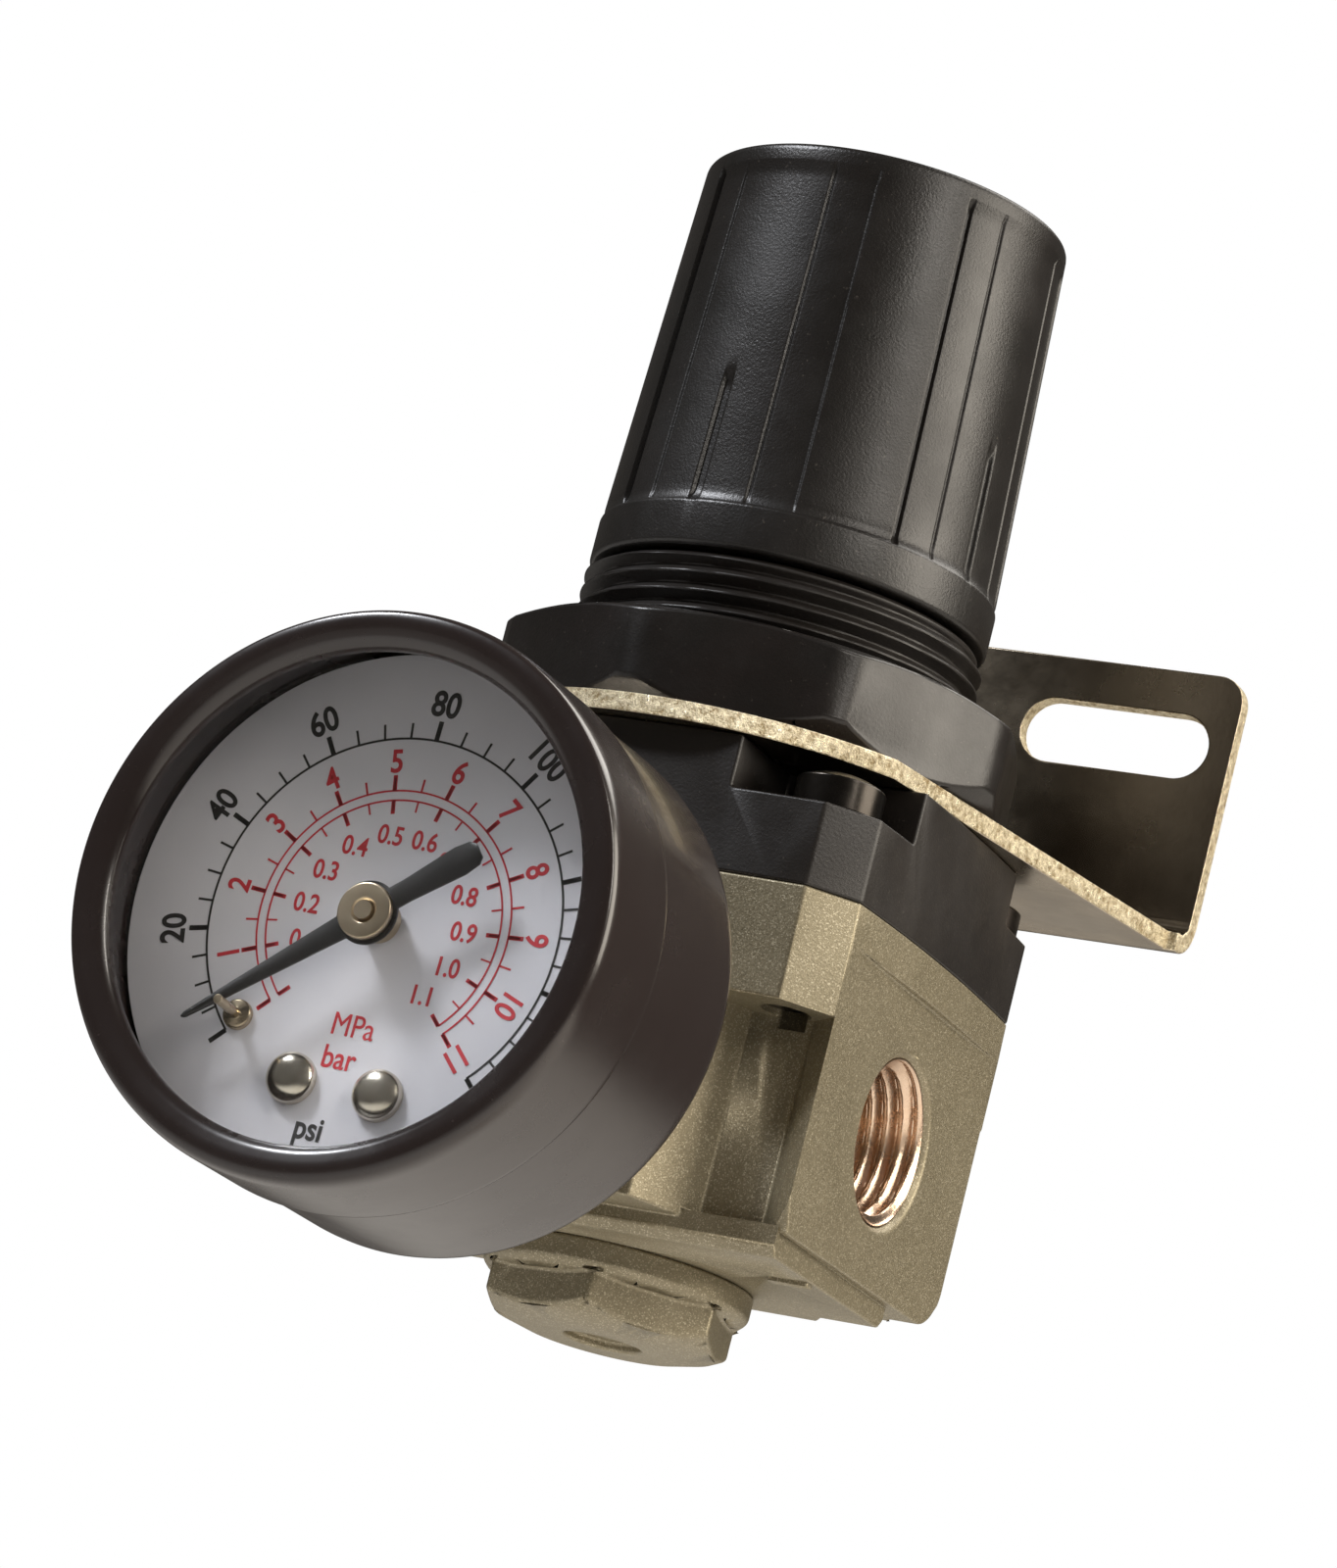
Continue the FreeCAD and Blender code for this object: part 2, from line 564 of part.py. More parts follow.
def make_plug_ring():
    """Sealing ring in the body's counterbore, above the plug's flange."""
    inner = "plug_thread_radius + ring_squeeze"
    outer = "plug_thread_radius + ring_section - ring_squeeze"
    centre = f"({inner} + {outer}) / 2"
    middle = "foot_level + ring_section / 2"
    half = "(ring_section / 2 - ring_squeeze)"
    over = f"{middle} + {half} / 2"
    under = f"{middle} - {half} / 2"
    bend = f"-{half}"
    return turned("plug_seal_ring", [
        (inner, over, bend), (centre, f"{middle} + {half}", bend), (outer, over),
        (outer, under, bend), (centre, f"{middle} - {half}", bend), (inner, under),
    ])


def make_poppet():
    seal_back = "seat_level - seal_thick"
    top = "joint_level - diaphragm_thick - relief_disc_thick"
    return turned("valve_poppet", [
        ("0", "tail_foot"), ("tail_radius - edge_break", "tail_foot"),
        ("tail_radius", "tail_foot + edge_break"),
        ("tail_radius", "poppet_foot"), ("poppet_radius", "poppet_foot"),
        ("poppet_radius", seal_back), ("stem_radius", seal_back),
        ("stem_radius", f"{top} - edge_break"), ("stem_radius - edge_break", top), ("0", top),
    ])


def make_valve_seal():
    return turned("valve_seal", [
        ("stem_radius", "seat_level - seal_thick"), ("seal_radius", "seat_level - seal_thick"),
        ("seal_radius", "seat_level"), ("stem_radius", "seat_level"),
    ])


def make_spring(label, radius, wire, foot, top, turns):
    """A round-wire coil whose wire just clears the two faces it works between."""
    body = new_body(label)
    sketch = new_sketch(body, "XZ_Plane")
    draw_circle(sketch, radius, f"{foot} + {wire} / 2 + end_gap", f"{wire} / 2")
    doc.recompute()
    coil = body.newObject("PartDesign::AdditiveHelix", "AdditiveHelix")
    coil.Profile = sketch
    coil.ReferenceAxis = (sketch, ["V_Axis"])
    coil.Mode = "height-turns-angle"
    bind(coil, "Height", f"{top} - ({foot}) - {wire} - 2 * end_gap")
    bind(coil, "Turns", turns)
    doc.recompute()
    check_change(body, coil, True, 0.0)
    return body


# ---------------------------------------------------------------- diaphragm

def make_diaphragm():
    foot = "joint_level - diaphragm_thick"
    return turned("diaphragm", [
        ("diaphragm_hole", foot), ("diaphragm_radius", foot), ("diaphragm_radius", "joint_level"),
        ("diaphragm_hole", "joint_level"),
    ])


def make_diaphragm_plate():
    top = "joint_level + plate_thick"
    return turned("diaphragm_plate", [
        ("relief_tube_radius", "joint_level"), ("plate_radius", "joint_level"), ("plate_radius", top),
        ("plate_hub_radius", top), ("plate_hub_radius", f"{top} + plate_hub_height"),
        ("relief_tube_radius", f"{top} + plate_hub_height"),
    ])


def make_relief_seat():
    disc_top = "joint_level - diaphragm_thick"
    top = "joint_level + plate_thick + plate_hub_height + relief_rivet"
    return turned("relief_seat", [
        ("relief_hole_radius", f"{disc_top} - relief_disc_thick"),
        ("relief_disc_radius", f"{disc_top} - relief_disc_thick"), ("relief_disc_radius", disc_top),
        ("relief_tube_radius", disc_top),
        ("relief_tube_radius", top), ("relief_hole_radius", top),
    ])


# ---------------------------------------------------------------- bonnet and its screws

def domed_screw(shank, foot, head, seat, side, dome):
    """A turned screw blank: shank, then a head with a straight side and a spherical top."""
    ball = (head * head + dome * dome) / (2 * dome)
    half_angle = math.asin(head / ball) / 2
    edge = seat + side
    middle = Vector(ball * math.sin(half_angle), 0, edge + dome - ball + ball * math.cos(half_angle))
    corners = [Vector(0, 0, foot), Vector(shank, 0, foot), Vector(shank, 0, seat), Vector(head, 0, seat)]
    if side > 0:
        corners.append(Vector(head, 0, edge))
    crown = Vector(0, 0, edge + dome)
    lines = [Part.makeLine(a, b) for a, b in zip(corners, corners[1:])]
    arc = Part.Arc(corners[-1], middle, crown).toShape()
    outline = Part.Wire([*lines, arc, Part.makeLine(crown, corners[0])])
    return Part.Face(outline).revolve(Vector(), Vector(0, 0, 1), 360)


def make_bonnet():
    body = new_body("bonnet")
    sketch = new_sketch(body, "XY_Plane", "joint_level")
    bulged_square(sketch)
    extrude(body, "Pad", sketch, "deck_level - joint_level")

    # Corner steps that the screw heads sit on.
    sketch = new_sketch(body, "XY_Plane", "deck_level")
    far = "block_width / 2 + 2 * overrun"
    for sx in ("", "-"):
        for sy in ("", "-"):
            draw(sketch, [
                (f"{sx}notch_across", f"{sy}notch_along"), (f"{sx}({far})", f"{sy}notch_along"),
                (f"{sx}({far})", f"{sy}({far})"), (f"{sx}notch_across", f"{sy}({far})"),
            ])
    extrude(body, "Pocket", sketch, "deck_level - notch_level")

    # Threaded neck, then the narrower tower that carries the knob.
    root = "thread_radius - thread_depth"
    sketch = new_sketch(body, "XZ_Plane")
    draw(sketch, [
        ("0", "joint_level + overrun"), ("neck_plug", "joint_level + overrun"),
        ("neck_plug", "deck_level"), ("thread_radius", "deck_level"),
        ("thread_radius", "thread_plain_top"),
        (root, "thread_plain_top + thread_depth"),
        (root, "neck_top"), ("tower_radius", "neck_top"),
        ("tower_radius", "tower_top - tower_bevel"), ("tower_radius - tower_bevel", "tower_top"),
        ("0", "tower_top"),
    ])
    revolve(body, "Revolution", sketch)

    # Lock teeth round the foot of the tower.
    sketch = new_sketch(body, "XY_Plane", "neck_top - weld")
    root = "tower_radius - weld"
    draw(sketch, [
        (root, "-lock_width / 2"), ("tower_radius + lock_height", "-lock_width / 4"),
        ("tower_radius + lock_height", "lock_width / 4"), (root, "lock_width / 2"),
    ])
    tooth = extrude(body, "Pad", sketch, "lock_length + weld")
    repeat_round(body, [tooth], "lock_count")

    # Spring chamber open at the bottom, with a deck at the top for the adjusting screw.
    mouth = "spring_bore + spring_lead"
    hole = "adjust_radius + adjust_gap"
    deck = "tower_top - tower_deck"
    cut_round(body, [
        ("0", "joint_level - overrun"), (mouth, "joint_level - overrun"),
        (mouth, "joint_level + plate_thick"), ("spring_bore", "joint_level + plate_thick + spring_lead"),
        ("spring_bore", "tower_step"), ("tower_bore", "tower_step + spring_bore - tower_bore"),
        ("tower_bore", deck), (hole, deck), (hole, "tower_top + overrun"),
        ("0", "tower_top + overrun"),
    ])

    # Two keyways stop the spring follower from turning.
    sketch = new_sketch(body, "XY_Plane", deck)
    reach = "(tower_bore + key_depth)"
    draw(sketch, [
        (f"-{reach}", "-key_width / 2"), (reach, "-key_width / 2"), (reach, "key_width / 2"),
        (f"-{reach}", "key_width / 2"),
    ])
    extrude(body, "Pocket", sketch, f"{deck} - tower_step")

    screws = [(x, y, "screw_radius + screw_clearance")
              for x, y in four_corners("screw_place", "screw_place")]
    cut_circles(body, "XY_Plane", "notch_level + overrun", screws,
                "notch_level - joint_level + 2 * overrun")
    return body


def make_bonnet_screws():
    """Four cross-recessed pan-head screws, one solid each, in one node."""
    step = value("screw_place")
    head_top = value("notch_level + screw_head_height")
    blank = domed_screw(
        value("screw_radius"), value("screw_tip"), value("screw_head_radius"), value("notch_level"),
        value("screw_head_height - screw_dome"), value("screw_dome"),
    )
    long, wide, deep = value("cross_length"), value("cross_width"), value("cross_depth")
    first_turn, turn_step = value("first_screw_turn"), value("screw_turn_step")
    for size_x, size_y in ((long, wide), (wide, long)):
        slot = Part.makeBox(size_x, size_y, deep + 1, Vector(-size_x / 2, -size_y / 2, head_top - deep))
        blank = blank.cut(slot)
    copies = []
    for index, (sx, sy) in enumerate(((1, 1), (1, -1), (-1, 1), (-1, -1))):
        screw = blank.copy()
        screw.rotate(Vector(), Vector(0, 0, 1), first_turn + turn_step * index)
        screw.translate(Vector(sx * step, sy * step, 0))
        copies.append(screw)
    group = doc.addObject("Part::Feature", "bonnet_screws")
    group.Label = "bonnet_screws"
    group.Shape = Part.Compound(copies)
    settle(group)
    return group


# ---------------------------------------------------------------- wall bracket and panel nut

def make_bracket():
    body = new_body("mounting_bracket")
    bend_start = "(leg_gap - bend_radius)"
    sketch = new_sketch(body, "XY_Plane", "deck_level")
    draw(sketch, [
        ("-shoulder_x", "shoulder_y", "bracket_front"), ("shoulder_x", "shoulder_y"),
        ("taper_half", bend_start), ("-taper_half", bend_start),
    ])
    extrude(body, "Pad", sketch, "sheet")

    # The bend and the upright leg, drawn from the side.
    outer = "(bend_radius + sheet)"
    sketch = new_sketch(body, "YZ_Plane")
    draw(sketch, [
        (f"{bend_start} - weld", "deck_level"), (bend_start, "deck_level", outer),
        ("leg_gap + sheet", f"deck_level + {outer}"), ("leg_gap + sheet", "leg_top"),
        ("leg_gap", "leg_top"), ("leg_gap", f"deck_level + {outer}", "-bend_radius"),
        (bend_start, "deck_level + sheet"), (f"{bend_start} - weld", "deck_level + sheet"),
    ])
    extrude(body, "Pad", sketch, "2 * bracket_half", both_ways=True)

    # Rounded upper corners of the leg, and the two slots.
    back = "-leg_gap - sheet - overrun"
    through = "sheet + 2 * overrun"
    sketch = new_sketch(body, "XZ_Plane", back)
    for side, bend in (("", "leg_corner"), ("-", "-leg_corner")):
        draw(sketch, [
            (f"{side}bracket_half", "leg_top - leg_corner", bend),
            (f"{side}(bracket_half - leg_corner)", "leg_top"),
            (f"{side}(bracket_half - leg_corner)", "leg_top + overrun"),
            (f"{side}(bracket_half + overrun)", "leg_top + overrun"),
            (f"{side}(bracket_half + overrun)", "leg_top - leg_corner"),
        ])
    extrude(body, "Pocket", sketch, through, True)
    sketch = new_sketch(body, "XZ_Plane", back)
    run = "(slot_length - slot_width) / 2"
    for side in ("", "-"):
        draw(sketch, slot_outline(f"{side}(slot_pitch / 2)", "slot_height", run, "(slot_width / 2)"))
    extrude(body, "Pocket", sketch, through, True)

    hole = [("0", "0", "(thread_radius + hole_gap)")]
    cut_circles(body, "XY_Plane", "deck_level + sheet + overrun", hole, through)
    return body


def make_panel_nut():
    """Eight wide flats with narrow cut corners, bevelled top and bottom, bored for the neck."""
    prisms = []
    for label, width, turn in (("flats", "nut_flats", "22.5"), ("corners", "nut_corners", "0")):
        prism = doc.addObject("Part::Prism", "nut_" + label)
        prism.Polygon = 8
        bind(prism, "Circumradius", f"{width} / 2 / cos(22.5 deg)")
        bind(prism, "Height", "nut_height")
        prism.Placement.Rotation = Rotation(Vector(0, 0, 1), value(f"nut_turn + {turn} + 22.5"))
        bind(prism, ".Placement.Base.z", "deck_level + sheet")
        prisms.append(prism)
    bevels = []
    reach = "nut_corners / 2 + nut_skin"
    head_foot = "deck_level + sheet + nut_height - nut_top_bevel"
    for label, rise, low_run, high_run, foot in (
        ("foot", "nut_bevel", "nut_bevel_run", "0", "deck_level + sheet"),
        ("head", "nut_top_bevel", "0", "nut_bevel_run", head_foot),
    ):
        cone = doc.addObject("Part::Cone", "nut_" + label)
        bind(cone, "Radius1", f"{reach} - {low_run}")
        bind(cone, "Radius2", f"{reach} - {high_run}")
        bind(cone, "Height", rise)
        bind(cone, ".Placement.Base.z", foot)
        bevels.append(cone)
    barrel = doc.addObject("Part::Cylinder", "nut_barrel")
    bind(barrel, "Radius", reach)
    bind(barrel, "Height", "nut_height - nut_bevel - nut_top_bevel")
    bind(barrel, ".Placement.Base.z", "deck_level + sheet + nut_bevel")
    turned_blank = doc.addObject("Part::MultiFuse", "nut_blank")
    turned_blank.Shapes = [*bevels, barrel]
    solid = doc.addObject("Part::MultiCommon", "nut_solid")
    solid.Shapes = [*prisms, turned_blank]
    bore = doc.addObject("Part::Cylinder", "nut_bore")
    bind(bore, "Radius", "thread_radius + nut_thread_gap")
    bind(bore, "Height", "nut_height + 2 * overrun")
    bind(bore, ".Placement.Base.z", "deck_level + sheet - overrun")
    nut = doc.addObject("Part::Cut", "panel_nut")
    nut.Base = solid
    nut.Tool = bore
    nut.Label = "panel_nut"
    settle(nut)
    return nut


# ---------------------------------------------------------------- knob, screw, follower, spring

def make_knob():
    body = new_body("knob")
    inner_top = "(knob_top_radius - knob_wall)"
    cap_foot = "(knob_top - knob_cap)"
    grip_foot = "knob_foot + knob_band + knob_step"
    sketch = new_sketch(body, "XZ_Plane")
    draw(sketch, [
        ("knob_mouth", "knob_foot"), ("knob_radius - edge_break", "knob_foot"),
        ("knob_radius", "knob_foot + edge_break"), ("knob_radius", "knob_foot + knob_band"),
        ("knob_base_radius", grip_foot),
        ("knob_top_radius", "knob_top - knob_crown", "knob_crown"),
        ("knob_top_radius - knob_crown", "knob_top"), ("0", "knob_top"), ("0", "socket_top"),
        ("adjust_hex / 2", "socket_top"), ("adjust_hex / 2", "hub_foot"), ("hub_radius", "hub_foot"),
        ("hub_radius", cap_foot), (inner_top, cap_foot), ("knob_mouth", f"{grip_foot} + knob_wall / 2"),
    ])
    revolve(body, "Revolution", sketch)

    # Hexagon socket that slides on the adjusting screw's head.
    sketch = new_sketch(body, "XY_Plane", "hub_foot")
    hexagon(sketch, "(adjust_hex + 2 * hex_gap)")
    extrude(body, "Pocket", sketch, "socket_top - hub_foot", True)

    # Long shallow grooves down the grip.
    sketch = new_sketch(body, "XY_Plane", grip_foot)
    reach = "(knob_top_radius - rib_depth)"
    outside = "knob_radius + overrun"
    draw(sketch, spun([
        (reach, "-rib_width / 2"), (outside, "-rib_width / 2"),
        (outside, "rib_width / 2"), (reach, "rib_width / 2"),
    ], "rib_turn"))
    groove = extrude(body, "Pocket", sketch, f"knob_top - 2 * knob_crown - ({grip_foot})", True)
    repeat_round(body, [groove], "rib_count")

    # Lock teeth inside the mouth, short of the bonnet's teeth.
    sketch = new_sketch(body, "XY_Plane", "knob_foot + edge_break")
    tip = "(tower_radius + lock_height + knob_lock_gap)"
    draw(sketch, [
        (tip, "-lock_width / 4"), ("knob_mouth + weld", "-lock_width / 2"),
        ("knob_mouth + weld", "lock_width / 2"), (tip, "lock_width / 4"),
    ])
    tooth = extrude(body, "Pad", sketch, "lock_length - edge_break")
    repeat_round(body, [tooth], "lock_count")
    return body


def make_adjusting_screw():
    body = new_body("adjusting_screw")
    flange_top = "(tower_top - tower_deck - flange_gap)"
    flange_foot = f"{flange_top} - adjust_flange_thick"
    groove_foot = "tower_top + flange_gap"
    groove_top = "tower_top + flange_gap + clip_thick"
    sketch = new_sketch(body, "XZ_Plane")
    draw(sketch, [
        ("0", "adjust_tip"), ("adjust_radius - adjust_lead", "adjust_tip"),
        ("adjust_radius", "adjust_tip + adjust_lead"), ("adjust_radius", flange_foot),
        ("adjust_flange", flange_foot), ("adjust_flange", flange_top),
        ("adjust_radius", flange_top), ("adjust_radius", groove_foot),
        ("adjust_radius - clip_groove", groove_foot), ("adjust_radius - clip_groove", groove_top),
        ("0", groove_top),
    ])
    revolve(body, "Revolution", sketch)
    sketch = new_sketch(body, "XY_Plane", groove_top)
    hexagon(sketch, "adjust_hex")
    extrude(body, "Pad", sketch, f"adjust_top - ({groove_top})")
    return body


def make_screw_clip():
    """Open retaining ring in the screw's groove, on top of the bonnet's deck."""
    body = new_body("screw_retaining_ring")
    sketch = new_sketch(body, "XY_Plane", "tower_top + flange_gap")
    draw_circle(sketch, "0", "0", "clip_radius")
    draw_circle(sketch, "0", "0", "adjust_radius - clip_groove")
    extrude(body, "Pad", sketch, "clip_thick")
    sketch = new_sketch(body, "XY_Plane", "tower_top + flange_gap + clip_thick")
    draw(sketch, [
        ("0", "-clip_mouth / 2"), ("clip_radius + overrun", "-clip_mouth / 2"),
        ("clip_radius + overrun", "clip_mouth / 2"), ("0", "clip_mouth / 2"),
    ])
    extrude(body, "Pocket", sketch, "clip_thick")
    return body


def make_follower():
    """Nut that the screw drives down onto the spring, held from turning by two keys."""
    bore = "adjust_radius + adjust_gap"
    hub = "spring_radius - spring_wire / 2 - follower_gap"
    hub_foot = "follower_foot - follower_hub"
    rim = "tower_bore - follower_gap"
    top = "follower_foot + follower_height"
    body = turned("spring_follower", [
        (bore, hub_foot), (hub, hub_foot), (hub, "follower_foot"),
        (rim, "follower_foot"), (rim, top), (bore, top),
    ])
    sketch = new_sketch(body, "XY_Plane", "follower_foot")
    near = "(tower_bore - follower_gap - weld)"
    far = "(tower_bore + key_depth - follower_gap)"
    half = "(key_width / 2 - follower_gap)"
    for side in ("", "-"):
        draw(sketch, [
            (f"{side}{near}", f"-{half}"), (f"{side}{far}", f"-{half}"),
            (f"{side}{far}", half), (f"{side}{near}", half),
        ])
    extrude(body, "Pad", sketch, "follower_height")
    return body


# ---------------------------------------------------------------- gauge case

def make_gauge_socket():
    """Threaded stem, square shank, and the block that carries the tube and the movement."""
    root = "(block_width / 2 - gauge_port_depth + stem_short)"
    back = "(case_back + case_wall + socket_fit)"
    body = new_body("gauge_socket", on_gauge=True)
    sketch = new_sketch(body, "XY_Plane", root)
    draw_circle(sketch, "0", "0", "gauge_port_radius")
    extrude(body, "Pad", sketch, f"block_width / 2 - {root}")
    sketch = new_sketch(body, "XY_Plane", "block_width / 2")
    half = "socket_square / 2"
    draw(sketch, [(f"-{half}", f"-{half}"), (half, f"-{half}"), (half, half), (f"-{half}", half)])
    extrude(body, "Pad", sketch, "case_back - block_width / 2")
    sketch = new_sketch(body, "XY_Plane", "case_back - weld")
    draw_circle(sketch, "0", "0", "socket_neck")
    extrude(body, "Pad", sketch, f"{back} - case_back + 2 * weld")
    sketch = new_sketch(body, "XY_Plane", back)
    wide = "block_wide / 2"
    draw(sketch, [
        (f"-{wide}", "-block_low"), (wide, "-block_low"), (wide, "block_high"),
        (f"-{wide}", "block_high"),
    ])
    extrude(body, "Pad", sketch, f"block_front - {back}")
    orifice = [("0", "0", "orifice_radius")]
    cut_circles(body, "XY_Plane", root, orifice, f"tube_level - {root}", True)
    return body


def make_gauge_case():
    bore = "socket_neck + socket_fit"
    return turned("gauge_case", [
        (bore, "case_back"), ("case_radius - case_round", "case_back", "case_round"),
        ("case_radius", "case_back + case_round"), ("case_radius", "case_front"),
        ("case_radius - case_wall", "case_front"), ("case_radius - case_wall", "case_back + case_wall"),
        (bore, "case_back + case_wall"),
    ], on_gauge=True)


LENS_RADIUS = "(case_radius - lens_gap)"


def make_bezel():
    lip_back = "case_front + lens_thick + gasket_thick"
    outside = "(case_radius + bezel_wall)"
    return turned("gauge_bezel", [
        ("case_radius", "bezel_back"), (f"{outside} - bezel_skirt_break", "bezel_back"),
        (outside, "bezel_back + edge_break"), (outside, "bezel_front - bezel_round", "bezel_round"),
        (f"{outside} - bezel_round", "bezel_front"),
        ("window_radius + window_bevel", "bezel_front"),
        ("window_radius", "bezel_front - window_bevel"), ("window_radius", lip_back),
        ("case_radius", lip_back),
    ], on_gauge=True)


def make_ring(label, inner, outer, back, front):
    """A plain flat ring or disc of the gauge."""
    return turned(label, [(inner, back), (outer, back), (outer, front), (inner, front)], on_gauge=True)


# ---------------------------------------------------------------- gauge face

def spun(points, angle):
    """Points given along and across a direction, as formulas in the dial's own axes."""
    turn = f"(({angle}) * 1 deg)"
    return [(f"({u}) * cos{turn} - ({v}) * sin{turn}", f"({u}) * sin{turn} + ({v}) * cos{turn}")
            for u, v in points]


def make_dial():
    body = new_body("dial_plate", on_gauge=True)
    sketch = new_sketch(body, "XY_Plane", "dial_front - dial_thick")
    draw_circle(sketch, "0", "0", "(case_radius - dial_gap)")
    draw_circle(sketch, "0", "0", "dial_hole")
    draw_circle(sketch, "dial_screw_x", "dial_screw_y", "dial_screw_radius")
    draw_circle(sketch, "-dial_screw_x", "dial_screw_y", "dial_screw_radius")
    extrude(body, "Pad", sketch, "dial_thick")
    return body


def make_dial_screws():
    """Two domed screws that hold the dial to the movement, one solid each."""
    screw = domed_screw(
        value("dial_screw_radius"), value("front_plate_back"), value("dial_screw_head"),
        value("dial_front"), 0, value("dial_screw_dome"),
    )
    copies = []
    for side in (1, -1):
        copy = screw.copy()
        copy.translate(Vector(side * value("dial_screw_x"), value("dial_screw_y"), 0))
        copies.append(copy)
    group = doc.addObject("Part::Feature", "dial_screws")
    group.Label = "dial_screws"
    group.Shape = Part.Compound(copies)
    settle(group, on_gauge=True)
    return group


def make_stop_pin():
    body = new_body("pointer_stop_pin", on_gauge=True)
    sketch = new_sketch(body, "XY_Plane", "dial_front")
    place = spun([("pin_reach", "0")], "pin_angle")[0]
    draw_circle(sketch, *place, "pin_radius")
    extrude(body, "Pad", sketch, "pin_front - dial_front")
    sketch = new_sketch(body, "XY_Plane", "dial_front")
    draw_circle(sketch, *place, "pin_collar")
    extrude(body, "Pad", sketch, "pin_collar_thick")
    return body


def make_pointer():
    """Thin steel pointer: a round eye, a long taper to the tip and a short broad tail."""
    body = new_body("pointer", on_gauge=True)
    sketch = new_sketch(body, "XY_Plane", "pointer_level")
    draw(sketch, spun([
        ("-pointer_tail", "-pointer_tail_half + pointer_tail_clip"),
        ("-pointer_tail + pointer_tail_flare", "-pointer_tail_half"),
        ("-cap_stem", "-pointer_neck_half"), ("cap_stem", "-pointer_hub_half"),
        ("pointer_reach", "-pointer_tip_half"), ("pointer_reach", "pointer_tip_half"),
        ("cap_stem", "pointer_hub_half"), ("-cap_stem", "pointer_neck_half"),
        ("-pointer_tail + pointer_tail_flare", "pointer_tail_half"),
        ("-pointer_tail", "pointer_tail_half - pointer_tail_clip"),
    ], "pointer_rest"))
    extrude(body, "Pad", sketch, "pointer_thick")
    sketch = new_sketch(body, "XY_Plane", "pointer_level")
    draw_circle(sketch, "0", "0", "eye_radius")
    extrude(body, "Pad", sketch, "pointer_thick")
    bore = [("0", "0", "cap_stem")]
    cut_circles(body, "XY_Plane", "pointer_level + overrun", bore, "pointer_thick + 2 * overrun")
    return body


def make_hub_cap():
    """Turned hub pressed on the arbor: a barrel behind the pointer and a disc in front of it."""
    top = "pointer_level + pointer_thick"
    front = f"{top} + cap_rim"
    return turned("pointer_hub", [
        ("arbor_radius", "cap_back"), ("cap_radius", "cap_back"), ("cap_radius", "pointer_level"),
        ("cap_stem", "pointer_level"), ("cap_stem", top), ("cap_base", top),
        ("cap_base", f"{front} - cap_edge"), ("cap_base - cap_edge", front),
        ("arbor_radius", front),
    ], on_gauge=True)


# ---------------------------------------------------------------- gauge movement

PIVOT = "-(pinion_radius + sector_radius + mesh_gap)"


def plate_outline(sketch):
    draw(sketch, [
        ("-frame_wide / 2", "-frame_low"), ("frame_wide / 2", "-frame_low"),
        ("frame_wide / 2", "frame_high"), ("-frame_wide / 2", "frame_high"),
    ])
    bore = "arbor_radius + slide_gap"
    draw_circle(sketch, "0", "0", bore)
    draw_circle(sketch, "0", PIVOT, bore)


def make_back_plate():
    body = new_body("movement_back_plate", on_gauge=True)
    sketch = new_sketch(body, "XY_Plane", "block_front")
    plate_outline(sketch)
    extrude(body, "Pad", sketch, "back_plate_thick")
    return body


def make_front_plate():
    """Front plate of the movement, with two bosses that the dial sits on."""
    body = new_body("movement_front_plate", on_gauge=True)
    sketch = new_sketch(body, "XY_Plane", "front_plate_back")
    plate_outline(sketch)
    extrude(body, "Pad", sketch, "front_plate_thick")
    plate_middle = "(front_plate_back + front_plate_thick / 2)"
    sketch = new_sketch(body, "XY_Plane", plate_middle)
    for side in ("", "-"):
        draw_circle(sketch, f"{side}dial_screw_x", "dial_screw_y", "dial_screw_radius + boss_wall")
    extrude(body, "Pad", sketch, f"dial_front - dial_thick - {plate_middle}")
    holes = [(f"{side}dial_screw_x", "dial_screw_y", "dial_screw_radius") for side in ("", "-")]
    cut_circles(body, "XY_Plane", "dial_front", holes, "dial_front - front_plate_back + overrun")
    return body


def make_pillars():
    """Four pillars that hold the movement's plates apart, one solid each."""
    foot = value("block_front + back_plate_thick")
    tall = value("front_plate_back") - foot
    pillars = []
    for x in (value("post_x"), -value("post_x")):
        for y in (value("post_y"), value("upper_post_y")):
            pillars.append(Part.makeCylinder(value("post_radius"), tall, Vector(x, y, foot)))
    group = doc.addObject("Part::Feature", "movement_pillars")
    group.Label = "movement_pillars"
    group.Shape = Part.Compound(pillars)
    settle(group, on_gauge=True)
    return group


def make_arbor():
    foot = "block_front + pivot_play"
    top = "pinion_back + pinion_thick"
    end = "pointer_level + pointer_thick + cap_rim + cap_edge"
    return turned("pinion_arbor", [
        ("0", foot), ("arbor_radius", foot), ("arbor_radius", "pinion_back"),
        ("pinion_radius", "pinion_back"), ("pinion_radius", top), ("arbor_radius", top),
        ("arbor_radius", end), ("0", end),
    ], on_gauge=True)


